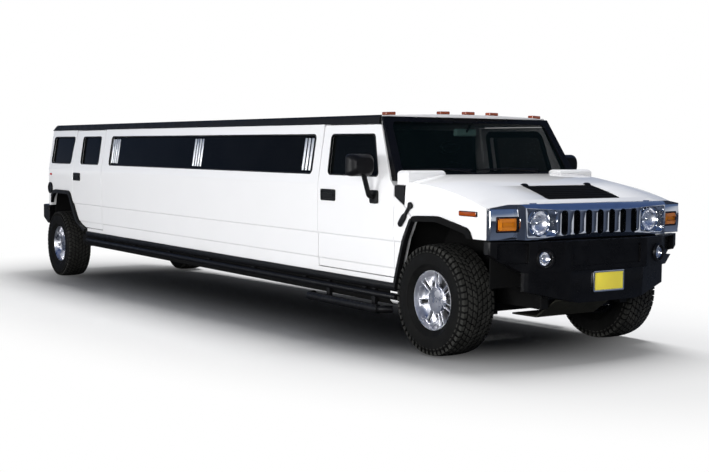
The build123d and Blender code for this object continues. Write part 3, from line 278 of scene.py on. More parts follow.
@dataclass(frozen=True)
class Plastic(Finish):
    """Moulded plastic or powder coat with a fine grain and faded patches."""

    rough: float = 0.5
    grain: float = 700.0
    depth: float = 0.0005
    fade: float = 0.2

    def dress(self) -> Graph:
        """Build the plastic's node graph.

        Returns:
            The graph, its material made.
        """
        graph = Graph(self.label, Specular_IOR_Level=0.16)
        patch = graph.noise(9.0, 5.0)
        worn = tuple(min(1.0, c * 1.4 + 0.004) for c in self.colour)
        graph.feed("Base Color", graph.mix(patch.range(0.4, 0.75) * self.fade, self.colour, worn))
        graph.feed("Roughness", patch.range(0.3, 0.7, self.rough - 0.06, self.rough + 0.1))
        graph.bump(graph.noise(self.grain, 2.0), self.depth, 0.5)
        return graph


@dataclass(frozen=True)
class Metal(Finish):
    """Bright or brushed metal with faint smears."""

    rough: float = 0.06
    streak: Point = (1.0, 1.0, 1.0)

    def dress(self) -> Graph:
        """Build the metal's node graph.

        Returns:
            The graph, its material made.
        """
        graph = Graph(self.label, Metallic=1.0)
        smear = graph.noise(14.0, 4.0, self.streak)
        dull = tuple(c * 0.82 for c in self.colour)
        graph.feed("Base Color", graph.mix(smear.range(0.45, 0.8) * 0.6, self.colour, dull))
        graph.feed("Roughness", smear.range(0.3, 0.75, self.rough, self.rough * 1.8 + 0.03))
        return graph


@dataclass(frozen=True)
class Glass(Finish):
    """Tinted pane, dark and glossy, with a faint film of dust."""

    opacity: float = 0.9
    shine: float = 0.07

    def dress(self) -> Graph:
        """Build the pane's node graph.

        Returns:
            The graph, its material made.
        """
        graph = Graph(self.label, Specular_IOR_Level=self.shine)
        film = graph.noise(3.0, 5.0)
        dusty = tuple(c + 0.003 for c in self.colour)
        graph.feed("Base Color", graph.mix(film, self.colour, dusty))
        graph.feed("Roughness", film.range(0.3, 0.8, 0.015, 0.07))
        graph.feed("Alpha", film.range(0.2, 0.8, self.opacity, min(1.0, self.opacity + 0.04)))
        return graph


@dataclass(frozen=True)
class Lens(Finish):
    """Moulded lamp lens with fine upright ribs."""

    opacity: float = 1.0
    ribs: float = 700.0

    def dress(self) -> Graph:
        """Build the lens's node graph.

        Returns:
            The graph, its material made.
        """
        graph = Graph(self.label, Roughness=0.08, Coat_Weight=0.6)
        split = graph.node("ShaderNodeSeparateXYZ", inputs={0: graph.place()}, output="Y")
        rib = (split * self.ribs).wave()
        deep = tuple(c * 0.55 for c in self.colour)
        graph.feed("Base Color", graph.mix(rib.range(-1.0, 1.0), self.colour, deep))
        graph.feed("Alpha", rib.range(-1.0, 1.0, self.opacity, min(1.0, self.opacity + 0.06)))
        graph.bump(rib, 0.0006, 0.4)
        return graph


@dataclass(frozen=True)
class Rubber(Finish):
    """Tyre rubber, dusty in patches."""

    def dress(self) -> Graph:
        """Build the rubber's node graph.

        Returns:
            The graph, its material made.
        """
        graph = Graph(self.label, Specular_IOR_Level=0.1)
        dust = graph.noise(11.0, 6.0)
        pale = tuple(c * 1.8 + 0.003 for c in self.colour)
        graph.feed("Base Color", graph.mix(dust.range(0.4, 0.75) * 0.7, self.colour, pale))
        graph.feed("Roughness", dust.range(0.3, 0.7, 0.62, 0.85))
        graph.bump(graph.noise(420.0, 3.0), 0.0008, 0.5)
        return graph


@dataclass(frozen=True)
class Leather(Finish):
    """Upholstery leather with a pebbled grain."""

    def dress(self) -> Graph:
        """Build the leather's node graph.

        Returns:
            The graph, its material made.
        """
        graph = Graph(self.label, Specular_IOR_Level=0.4)
        inputs = {"Vector": graph.place(), "Scale": 260.0}
        grain = graph.node("ShaderNodeTexVoronoi", inputs=inputs, output="Distance")
        patch = graph.noise(6.0, 4.0)
        worn = tuple(min(1.0, c * 1.25 + 0.01) for c in self.colour)
        graph.feed("Base Color", graph.mix(patch, self.colour, worn))
        graph.feed("Roughness", patch.range(0.3, 0.7, 0.38, 0.55))
        graph.bump(grain, 0.001, 0.4)
        return graph


WHITE_PAINT = Paint("white_paint", (0.86, 0.86, 0.87))
BLACK_PLASTIC = Plastic("black_plastic", (0.0045, 0.0045, 0.005), rough=0.4)
BLACK_METAL = Plastic("black_metal", (0.003, 0.003, 0.0035), rough=0.3, grain=300.0)
CHASSIS_PAINT = Plastic("chassis_paint", (0.005, 0.005, 0.005), rough=0.6, grain=90.0, depth=0.002)
LINER = Plastic("liner_felt", (0.003, 0.003, 0.003), rough=0.9, grain=220.0, depth=0.002)
CHROME = Metal("chrome", (0.78, 0.79, 0.81), rough=0.04)
ALLOY = Metal("alloy", (0.7, 0.7, 0.72), rough=0.24)
REFLECTOR = Metal("reflector", (0.92, 0.92, 0.94), rough=0.2)
CAP = Metal("hub_cap_alloy", (0.5, 0.5, 0.53), rough=0.2)
PLATE = Plastic("plate_yellow", (1.0, 0.84, 0.09), rough=0.4, grain=1200.0, depth=0.0002, fade=0.15)
# Painted shade: the knuckles' steel is darker than bare steel, standing in for the shadow behind the spokes.
SHADED_STEEL = Metal("steel", (0.12, 0.12, 0.125), rough=0.4)
FLUTED = Metal("fluted_steel", (0.6, 0.61, 0.62), rough=0.34, streak=(1.0, 1.0, 0.2))
TINTED = Glass("tinted_glass", (0.001, 0.0012, 0.0013), opacity=0.96)
LIGHT_TINT = Glass("light_tint", (0.001, 0.0016, 0.0017), opacity=0.88)
CLEAR = Glass("clear_glass", (0.001, 0.004, 0.0042), opacity=0.46)
LAMP_CLEAR = Lens("lamp_clear", (0.6, 0.62, 0.65), opacity=0.07)
LAMP_AMBER = Lens("lamp_amber", (0.3, 0.05, 0.004))
# Painted highlight: bright amber for the middle of the unlit indicator lenses, standing in for a glint.
LAMP_PAINTED_GLINT = Lens("painted_glint", (0.8, 0.25, 0.012))
LAMP_RED = Lens("lamp_red", (0.5, 0.015, 0.012))
TYRE = Rubber("tyre_rubber", (0.0035, 0.0035, 0.0033))
TREAD = Rubber("tread_rubber", (0.024, 0.024, 0.022))
SHELL = Plastic("mirror_shell", (0.4, 0.72, 0.66), rough=0.3, grain=900.0)
TRIM = Plastic("interior_trim", (0.015, 0.015, 0.016), rough=0.65, grain=420.0)
HIDE = Leather("black_leather", (0.012, 0.012, 0.013))
SKID = Plastic("skid_paint", (0.028, 0.028, 0.022), rough=0.55, grain=60.0, depth=0.003)

CAD_FINISHES: dict[Finish, tuple[str, ...]] = {
    WHITE_PAINT: ("side_panel_", "quarter_panel_", "roof_panel", "cowl", "hood", "tailgate",
                  "front_door_left", "front_door_right", "rear_door_left", "rear_door_right"),
    BLACK_PLASTIC: ("body_trims", "front_door_fittings_", "rear_door_fittings_"),
    BLACK_METAL: ("windscreen_frame", "front_bumper", "rear_bumper"),
    CHASSIS_PAINT: ("chassis_frame", "floor_pan", "front_suspension", "rear_axle", "engine_block"),
    LINER: ("wheel_housings", "hood_trims"),
    CHROME: ("grille_shell",),
    ALLOY: ("rim_",),
    SHADED_STEEL: ("knuckle_",),
    FLUTED: ("window_dividers",),
    TINTED: ("side_glass", "rear_door_glass_", "tailgate_glass"),
    LIGHT_TINT: ("front_door_glass_",),
    CLEAR: ("windscreen",),
    LAMP_CLEAR: ("front_lamps",),
    LAMP_AMBER: ("amber_lamps",),
    LAMP_RED: ("tail_lamps",),
    TYRE: ("tyre_",),
    TRIM: ("cabin_fittings",),
    HIDE: ("seats",),
    SKID: ("skid_plate",),
}


@dataclass
class CadFrame:
    """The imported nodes, dressed and with softened edges."""

    edge: float = 0.004
    broad_edge: float = 0.011
    weld: float = 0.00005
    flat_degrees: float = 0.4
    broad: tuple[str, ...] = ("hood", "roof_panel", "front_bumper", "rear_bumper")

    def build(self) -> None:
        """Give every node its finish and its rounded edges."""
        for finish, names in CAD_FINISHES.items():
            for node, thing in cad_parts.items():
                if any(node == n or (n.endswith("_") and node.startswith(n)) for n in names):
                    thing.data.materials.clear()
                    thing.data.materials.append(finish.material())
                    self._soften(thing, self.broad_edge if node in self.broad else self.edge)
                    log.info("dressed %s with %s", node, finish.name)

    def _soften(self, thing: bpy.types.Object, width: float) -> None:
        """Weld a node's triangles and round its sharp edges with live modifiers.

        Args:
            thing: The node's object; its own mesh stays as it is.
            width: Width of the rounding.
        """
        weld = thing.modifiers.new("weld", "WELD")
        weld.merge_threshold = self.weld
        flat = thing.modifiers.new("flat", "DECIMATE")
        flat.decimate_type = "DISSOLVE"
        flat.angle_limit = math.radians(self.flat_degrees)
        round_ = thing.modifiers.new("round", "BEVEL")
        round_.width = width
        round_.segments = 3
        round_.angle_limit = SHARP
        round_.harden_normals = True


class Side(Enum):
    """The vehicle's two sides; pieces are modelled on the left."""

    LEFT = "left"
    RIGHT = "right"

    @property
    def mirror(self) -> Matrix:
        """Matrix that carries a left piece to this side."""
        return Matrix.Scale(1 if self is Side.LEFT else -1, 4, (0, 1, 0))


class Start(Enum):
    """Primitive that a piece is begun from."""

    POINT = "point"
    CUBE = "cube"


class Piece:
    """A piece on the bench, modelled in edit mode in level body coordinates."""

    def __init__(
        self, name: str, finish: Finish, start: Start, size: Point = (1, 1, 1), at: Point = (0, 0, 0)
    ) -> None:
        """Begin a piece.

        Args:
            name: Name of the piece.
            finish: Finish of all its faces, until some are painted.
            start: Primitive to begin with.
            size: Overall size of the primitive.
            at: Its middle.
        """
        self.name = name
        self.finish = finish
        bpy.ops.object.select_all(action="DESELECT")
        if start is Start.CUBE:
            bpy.ops.mesh.primitive_cube_add(size=1.0)
        else:
            bpy.ops.mesh.primitive_plane_add(size=1.0)
        self.thing = bpy.context.active_object
        self.thing.data.materials.append(finish.material())
        bpy.ops.object.mode_set(mode="EDIT")
        self.all()
        if start is Start.POINT:
            bpy.ops.mesh.merge(type="CENTER")
        else:
            self.scale(size)
        self.shift(at)

    @classmethod
    def chain(cls, name: str, finish: Finish, points: Sequence[Point]) -> "Piece":
        """Begin with a chain of edges, drawn by extruding one point.

        Args:
            name: Name of the piece.
            finish: Finish of its faces.
            points: Places along the chain.

        Returns:
            The piece, all of it selected.
        """
        piece = cls(name, finish, Start.POINT, at=points[0])
        for here, there in zip(points, points[1:]):
            step = tuple(b - a for a, b in zip(here, there))
            bpy.ops.mesh.extrude_vertices_move(TRANSFORM_OT_translate={"value": step})
        return piece.all()

    @classmethod
    def plate(
        cls, name: str, finish: Finish, points: Sequence[Point], depth: Point, radius: float = 0.0
    ) -> "Piece":
        """Begin with a flat outline, its corners rounded, extruded to a plate.

        Args:
            name: Name of the piece.
            finish: Finish of its faces.
            points: Corners of the outline, in order.
            depth: Step from one side of the plate to the other.
            radius: Rounding of the corners.

        Returns:
            The piece, all of it selected.
        """
        piece = cls.chain(name, finish, points)
        bpy.ops.mesh.edge_face_add()
        if radius:
            bpy.ops.mesh.bevel(offset=radius, segments=5, affect="VERTICES")
        piece.all().extrude(depth).all()
        bpy.ops.mesh.normals_make_consistent(inside=False)
        return piece

    @classmethod
    def lathe(
        cls, name: str, finish: Finish, profile: Profile, axis: str, steps: int = 48
    ) -> "Piece":
        """Begin with a profile of places along an axis and radii, spun round it.

        Args:
            name: Name of the piece.
            finish: Finish of its faces.
            profile: Places along the axis, each with its radius.
            axis: X or Y.
            steps: Facets round the axis.

        Returns:
            The piece, all of it selected.
        """
        points = [(0, a, r) if axis == "Y" else (a, 0, r) for a, r in profile]
        piece = cls.chain(name, finish, points)
        return piece.spin(axis, steps)

    def spin(self, axis: str, steps: int, copies: bool = False) -> "Piece":
        """Spin the selection round an axis through the origin, or copy it round.

        Args:
            axis: X or Y.
            steps: Facets, or copies, in the full turn.
            copies: Whether to copy and not to sweep.

        Returns:
            The piece, all of it selected.
        """
        turn = (0, 1, 0) if axis == "Y" else (1, 0, 0)
        bpy.ops.mesh.spin(steps=steps, angle=math.tau, center=(0, 0, 0), axis=turn, dupli=copies)
        return self.all()

    def all(self) -> "Piece":
        """Select everything.

        Returns:
            The piece.
        """
        bpy.ops.mesh.select_mode(type="VERT")
        bpy.ops.mesh.select_all(action="SELECT")
        return self

    def faces(self, test: Callable[[Vector, Vector], bool]) -> "Piece":
        """Select the faces whose middle and normal pass a test.

        Args:
            test: Takes a face's middle and its normal.

        Returns:
            The piece, those faces selected.
        """
        bpy.ops.mesh.select_mode(type="FACE")
        bpy.ops.mesh.select_all(action="DESELECT")
        mesh = bmesh.from_edit_mesh(self.thing.data)
        for face in mesh.faces:
            face.select_set(test(face.calc_center_median(), face.normal))
        bmesh.update_edit_mesh(self.thing.data)
        return self

    def shift(self, step: Point) -> "Piece":
        """Move the selection."""
        bpy.ops.transform.translate(value=step)
        return self

    def scale(self, factors: Point, about: Point = (0, 0, 0)) -> "Piece":
        """Scale the selection about a point."""
        bpy.ops.transform.resize(value=factors, center_override=about)
        return self

    def turn(self, degrees: float, axis: str, about: Point = (0, 0, 0)) -> "Piece":
        """Turn the selection about an axis through a point, by the right-hand rule."""
        bpy.ops.transform.rotate(value=-math.radians(degrees), orient_axis=axis, center_override=about)
        return self

    def extrude(self, step: Point) -> "Piece":
        """Extrude the selected faces by a step; the new ones stay selected."""
        bpy.ops.mesh.extrude_region_move(TRANSFORM_OT_translate={"value": step})
        return self

    def inset(self, width: float, depth: float = 0.0) -> "Piece":
        """Inset the selected faces, sunk or raised by a depth."""
        bpy.ops.mesh.inset(thickness=width, depth=depth)
        return self

    def hollow(self, axis: int, width: float) -> "Piece":
        """Turn a plate into a ring: both of its faces across an axis inset, opened and joined.

        Args:
            axis: Number of the axis through the plate.
            width: Width of the ring.

        Returns:
            The piece, all of it selected.
        """
        self.faces(lambda _, normal: abs(normal[axis]) > 0.9).inset(width)
        bpy.ops.mesh.delete(type="FACE")
        bpy.ops.mesh.select_mode(type="EDGE")
        bpy.ops.mesh.select_all(action="DESELECT")
        bpy.ops.mesh.select_non_manifold()
        bpy.ops.mesh.bridge_edge_loops()
        return self.all()

    def paint(self, finish: Finish) -> "Piece":
        """Give the selected faces a finish of their own.

        Args:
            finish: Finish of those faces.

        Returns:
            The piece.
        """
        self.thing.data.materials.append(finish.material())
        self.thing.active_material_index = len(self.thing.data.materials) - 1
        bpy.ops.object.material_slot_assign()
        return self

    def copies(self, count: int, step: Point) -> "Piece":
        """Repeat everything along a step, the first copy included in the count.

        Args:
            count: How many there are in the end.
            step: From one to the next.

        Returns:
            The piece, all of it selected.
        """
        self.all()
        for _ in range(count - 1):
            bpy.ops.mesh.duplicate_move(TRANSFORM_OT_translate={"value": step})
        return self.all()

    def soften(self, width: float, segments: int = 2) -> "Piece":
        """Bevel all sharp edges.

        Args:
            width: Width of the bevel.
            segments: Facets across it.

        Returns:
            The piece, all of it selected.
        """
        self.all()
        bpy.ops.mesh.normals_make_consistent(inside=False)
        bpy.ops.mesh.select_mode(type="EDGE")
        bpy.ops.mesh.select_all(action="DESELECT")
        bpy.ops.mesh.edges_select_sharp(sharpness=SHARP)
        bpy.ops.mesh.bevel(offset=width, segments=segments, affect="EDGES", clamp_overlap=True)
        return self.all()

    def tube(self, radius: float) -> "Piece":
        """Turn a chain of edges into a round rod.

        Args:
            radius: Radius of the rod.

        Returns:
            The piece, all of it selected.
        """
        bpy.ops.object.mode_set(mode="OBJECT")
        bpy.ops.object.convert(target="CURVE")
        curve = bpy.context.active_object.data
        curve.bevel_depth = radius
        curve.bevel_resolution = 3
        curve.use_fill_caps = True
        bpy.ops.object.convert(target="MESH")
        self.thing = bpy.context.active_object
        self.thing.data.materials.clear()
        self.thing.data.materials.append(self.finish.material())
        bpy.ops.object.mode_set(mode="EDIT")
        return self.all()

    def smooth(self, levels: int) -> "Piece":
        """Round the whole form by subdivision, applied to the mesh.

        Args:
            levels: How often faces are split.

        Returns:
            The piece, all of it selected.
        """
        bpy.ops.object.mode_set(mode="OBJECT")
        rounder = self.thing.modifiers.new("rounder", "SUBSURF")
        rounder.levels = levels
        bpy.ops.object.modifier_apply(modifier="rounder")
        bpy.ops.object.mode_set(mode="EDIT")
        return self.all()

    def done(self) -> bpy.types.Mesh:
        """Clean the piece up and take its mesh off the bench.

        Returns:
            The finished mesh.
        """
        self.all()
        bpy.ops.mesh.remove_doubles(threshold=0.00002)
        bpy.ops.mesh.normals_make_consistent(inside=False)
        bpy.ops.object.mode_set(mode="OBJECT")
        bpy.ops.object.shade_smooth_by_angle(angle=SMOOTH)
        mesh = self.thing.data
        mesh.name = self.name
        bpy.data.objects.remove(self.thing)
        return mesh


@dataclass
class Assembly:
    """Base of all sub-assemblies: puts finished meshes in the frame."""

    def add(
        self,
        name: str,
        mesh: bpy.types.Mesh,
        body: str,
        slot: str,
        place: Matrix = BODY,
        replaces: Sequence[str] = (),
    ) -> bpy.types.Object:
        """Set a copy of a mesh in place on a CAD body.

        Args:
            name: Name of the piece.
            mesh: Finished mesh in level body coordinates, or in those that place reads.
            body: CAD body that carries it.
            slot: Not used.
            place: Matrix from the mesh to the shared frame.
            replaces: CAD nodes that the piece stands for.

        Returns:
            The piece, at the origin, its place in its mesh.
        """
        own = mesh.copy()
        own.transform(place)
        if place.determinant() < 0:
            own.flip_normals()
        thing = bpy.data.objects.new(name, own)
        bpy.context.scene.collection.objects.link(thing)
        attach(thing, body)
        if replaces:
            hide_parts(*replaces)
        log.info("%s: %d faces on %s", name, len(own.polygons), body)
        return thing

    def add_pair(
        self, name: str, mesh: bpy.types.Mesh, body: str, slot: str, replaces: Sequence[str] = ()
    ) -> None:
        """Set a left piece and its mirrored twin; {} in body and nodes stands for the side.

        Args:
            name: Stem of both pieces' names.
            mesh: Finished mesh of the left piece.
            body: CAD body that carries each.
            slot: Material slot of the record.
            replaces: CAD nodes that the pieces stand for.
        """
        for side in Side:
            nodes = [node.format(side.value) for node in replaces]
            place = BODY @ side.mirror
            self.add(f"{name}_{side.value}", mesh, body.format(side.value), slot, place, nodes)


@dataclass
class Wheels(Assembly):
    """Four wheels: ribbed carcass, block tread, dished rim, double spokes and cap."""

    carcass: Profile = (
        (0.112, 0.232), (0.132, 0.25), (0.148, 0.278), (0.1535, 0.281), (0.1555, 0.29), (0.157, 0.33),
        (0.1555, 0.362), (0.151, 0.388), (0.141, 0.41), (0.12, 0.4215), (0.06, 0.4245), (0.0, 0.425),
    )
    rim: Profile = (
        (-0.112, 0.2316), (0.113, 0.2316), (0.118, 0.2335), (0.122, 0.2315), (0.122, 0.2275), (0.117, 0.2245),
        (0.105, 0.2205), (0.074, 0.209), (0.054, 0.1985), (0.042, 0.184), (0.034, 0.168), (0.026, 0.161),
        (0.012, 0.162), (0.004, 0.175), (-0.012, 0.195), (-0.06, 0.199), (-0.112, 0.205), (-0.112, 0.2316),
    )
    cap: Profile = (
        (0.018, 0.0), (0.018, 0.088), (0.056, 0.092), (0.058, 0.1085), (0.064, 0.111), (0.072, 0.1105),
        (0.0775, 0.106), (0.0785, 0.1), (0.0835, 0.094), (0.0855, 0.07), (0.0862, 0.035), (0.0864, 0.0),
    )
    zig: Profile = (
        (-0.02, -0.031), (-0.004, -0.031), (0.004, -0.014), (0.02, -0.014),
        (0.02, 0.031), (0.004, 0.031), (-0.004, 0.014), (-0.02, 0.014),
    )
    lug: Profile = (
        (0.117, -0.024), (0.131, -0.019), (0.147, -0.019), (0.147, 0.022), (0.131, 0.022), (0.117, 0.017),
    )
    pitches: int = 52
    tread_r: float = 0.4342
    block_depth: float = 0.018
    shaded_barrel_y: float = 0.024
    spokes: int = 7
    phase: float = 35.0

    def build(self) -> None:
        """Model one wheel and set it on all four hubs."""
        both = [*self.carcass, *((-y, r) for y, r in reversed(self.carcass[:-1]))]
        tyre = Piece.lathe("tyre", TYRE, both, "Y", 72).done()
        rim = Piece.lathe("rim", ALLOY, self.rim, "Y", 72)
        # Painted shade: the rim's inner barrel is painted black, standing in for the shadow inside the wheel.
        rim.faces(lambda middle, _: middle.y < self.shaded_barrel_y).paint(BLACK_METAL)
        rim = rim.done()
        cap = Piece.lathe("hub_cap", CAP, self.cap, "Y", 64).done()
        parts = {"tyre": tyre, "tread": self._tread(), "rim": rim, "spokes": self._spokes(), "hub_cap": cap}
        for end in ("front", "rear"):
            for side in Side:
                where = f"{end}_{side.value}"
                low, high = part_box(f"tyre_{where}")
                place = Matrix.Translation((low + high) / 2) @ side.mirror
                for name, mesh in parts.items():
                    slot = "tyre_rubber" if name in ("tyre", "tread") else "chrome"
                    nodes = [f"{name}_{where}"] if name in ("tyre", "rim") else []
                    self.add(f"{name}_{where}", mesh, f"wheel_{where}", slot, place, nodes)

    def _block(self, corners: Profile) -> Piece:
        """Raise one tread block over an outline.

        Args:
            corners: Places across and along the tread.

        Returns:
            The block, all of it selected.
        """
        base = [(t, y, self.tread_r - self.block_depth) for y, t in corners]
        block = Piece.plate("block", TYRE, base, (0, 0, self.block_depth))
        block.faces(lambda _, normal: normal.z > 0.9).inset(0.0018)
        return block.shift((0, 0, 0.001)).paint(TREAD).all()

    def _tread(self) -> bpy.types.Mesh:
        """Interlocking zigzag blocks and shoulder lugs, modelled over one pitch and copied round.

        Returns:
            The finished ring.
        """
        half = 180 / self.pitches
        rows = [self._block(self.zig).done()]
        for side in (1, -1):
            for across, offset, drop, lean in ((0.046, half, 0.0004, 1.5), (0.092, 0.0, 0.003, 5.0)):
                block = self._block([(side * (across - y), t) for y, t in self.zig])
                block.turn(-side * lean, "X", (0, side * across, self.tread_r)).shift((0, 0, -drop))
                rows.append(block.turn(offset, "Y").done())
            tall = self._block([(side * y, t) for y, t in self.lug])
            tall.turn(-side * 13.0, "X", (0, side * 0.117, self.tread_r)).shift((0, 0, -0.0055))
            for step, taper in (((0, side * 0.0085, -0.016), 0.94), ((0, side * 0.003, -0.034), 0.8)):
                tall.faces(lambda middle, normal: side * normal.y > 0.5 and abs(middle.y) > 0.136)
                tall.extrude(step).scale((taper, 1, 1))
            rows.append(tall.all().turn(half, "Y").done())
        ring = self._merge("tread", rows)
        return ring.spin("Y", self.pitches, copies=True).done()

    @staticmethod
    def _merge(name: str, meshes: Sequence[bpy.types.Mesh]) -> Piece:
        """Put finished meshes together on the bench as one piece.

        Args:
            name: Name of the piece.
            meshes: What it is put together from.

        Returns:
            The piece, all of it selected.
        """
        bench = Piece(name, TYRE, Start.POINT)
        bpy.ops.mesh.delete(type="VERT")
        bpy.ops.object.mode_set(mode="OBJECT")
        for mesh in meshes:
            part = bpy.data.objects.new("part", mesh)
            bpy.context.scene.collection.objects.link(part)
            part.select_set(True)
        bpy.ops.object.join()
        bpy.ops.object.mode_set(mode="EDIT")
        return bench.all()

    def _spokes(self) -> bpy.types.Mesh:
        """Double-ribbed spokes: a bar with a closed groove in its face, the groove's floor painted black as
        shade, copied round the hub.

        Returns:
            The finished spokes.
        """
        bar = Piece("spokes", ALLOY, Start.CUBE, (0.124, 0.06, 0.046), (0.153, 0.05, 0))
        bar.faces(lambda _, normal: normal.x > 0.9).scale((1, 1, 1.3), (0.2, 0.05, 0)).shift((0, 0.006, 0))
        bar.faces(lambda _, normal: normal.y > 0.9).inset(0.0095)
        # Painted shade: the groove's floor is painted black so that it reads as shaded.
        bar.inset(0.0015, -0.02).paint(BLACK_METAL)
        bar.soften(0.0028)
        bar.turn(-self.phase, "Y")
        return bar.spin("Y", self.spokes, copies=True).done()


@dataclass
class FrontLamps(Assembly):
    """Head and fog lamps; the profiles of bowl, bulb, bezel and glass are shares of the lamp's radius."""

    bowl: Profile = ((-0.5, 0.0), (-0.46, 0.3), (-0.34, 0.6), (-0.12, 0.86), (0.08, 0.93))
    bulb: Profile = ((-0.5, 0.2), (-0.3, 0.2), (-0.1, 0.19), (-0.02, 0.12), (0.0, 0.0))
    bezel: Profile = (
        (-0.1, 0.93), (0.16, 0.92), (0.22, 0.96), (0.2, 1.02), (0.08, 1.07), (-0.1, 1.07), (-0.1, 0.93),
    )
    glass: Profile = ((0.3, 0.0), (0.27, 0.4), (0.2, 0.75), (0.1, 0.94))
    fog_ring: Profile = (
        (-0.03, 1.09), (0.012, 1.09), (0.02, 1.16), (0.021, 1.28), (0.013, 1.4), (-0.03, 1.46), (-0.03, 1.09),
    )
    head_at: Point = (0.73, 0.58, 1.063)
    head_r: float = 0.092
    fog_at: Point = (0.808, 0.595, 0.806)
    fog_r: float = 0.052
    fog_sweep: float = 14.6
    fog_proud: float = 0.014

    def build(self) -> None:
        """Model both kinds of lamp and set them on either side."""
        self._lamp("headlamp", self.head_at, self.head_r, ["front_lamps"])
        self._lamp("fog_lamp", self.fog_at, self.fog_r, [])
        self._fog_bezel()

    def _lamp(self, name: str, at: Point, r: float, nodes: list[str]) -> None:
        """Model one round lamp of a radius, its pieces spun about the lamp's axis.

        Args:
            name: Stem of the pieces' names.
            at: Middle of the lamp's rim, on the left.
            r: Radius of the glass.
            nodes: CAD nodes that the lamp stands for.
        """
        kinds = (
            ("bowl", REFLECTOR, self.bowl, "chrome"),
            ("bulb", CHROME, self.bulb, "chrome"),
            ("bezel", CHROME, self.bezel, "chrome"),
            ("lens", LAMP_CLEAR, self.glass, "lamp_clear"),
        )
        for part, finish, shares, slot in kinds:
            profile = [(along * r, out * r) for along, out in shares]
            mesh = Piece.lathe(f"{name}_{part}", finish, profile, "X", 40).shift(at).done()
            self.add_pair(f"{name}_{part}", mesh, "chassis", slot, nodes if part == "lens" else [])

    def _fog_bezel(self) -> None:
        """Round black bezel that stands out of the bumper about a fog lamp."""
        x, y, z = self.fog_at
        ring = [(along, out * self.fog_r) for along, out in self.fog_ring]
        bezel = Piece.lathe("fog_bezel", BLACK_PLASTIC, ring, "X", 40)
        bezel.turn(self.fog_sweep, "Z").shift((x + self.fog_proud, y, z))
        self.add_pair("fog_bezel", bezel.done(), "chassis", "black_plastic")


def arc_height(x: float, ends: tuple[Point, Point, Point]) -> float:
    """Height at a station on the arc through three points of a side view.

    Args:
        x: Station.
        ends: The arc's points as (x, 0, z).

    Returns:
        Height of the arc's upper side.
    """
    (ax, _, az), (bx, _, bz), (cx, _, cz) = ends
    d = 2 * (ax * (bz - cz) + bx * (cz - az) + cx * (az - bz))
    a2, b2, c2 = ax * ax + az * az, bx * bx + bz * bz, cx * cx + cz * cz
    mid_x = (a2 * (bz - cz) + b2 * (cz - az) + c2 * (az - bz)) / d
    mid_z = (a2 * (cx - bx) + b2 * (ax - cx) + c2 * (bx - ax)) / d
    return mid_z + math.sqrt((ax - mid_x) ** 2 + (az - mid_z) ** 2 - (x - mid_x) ** 2)


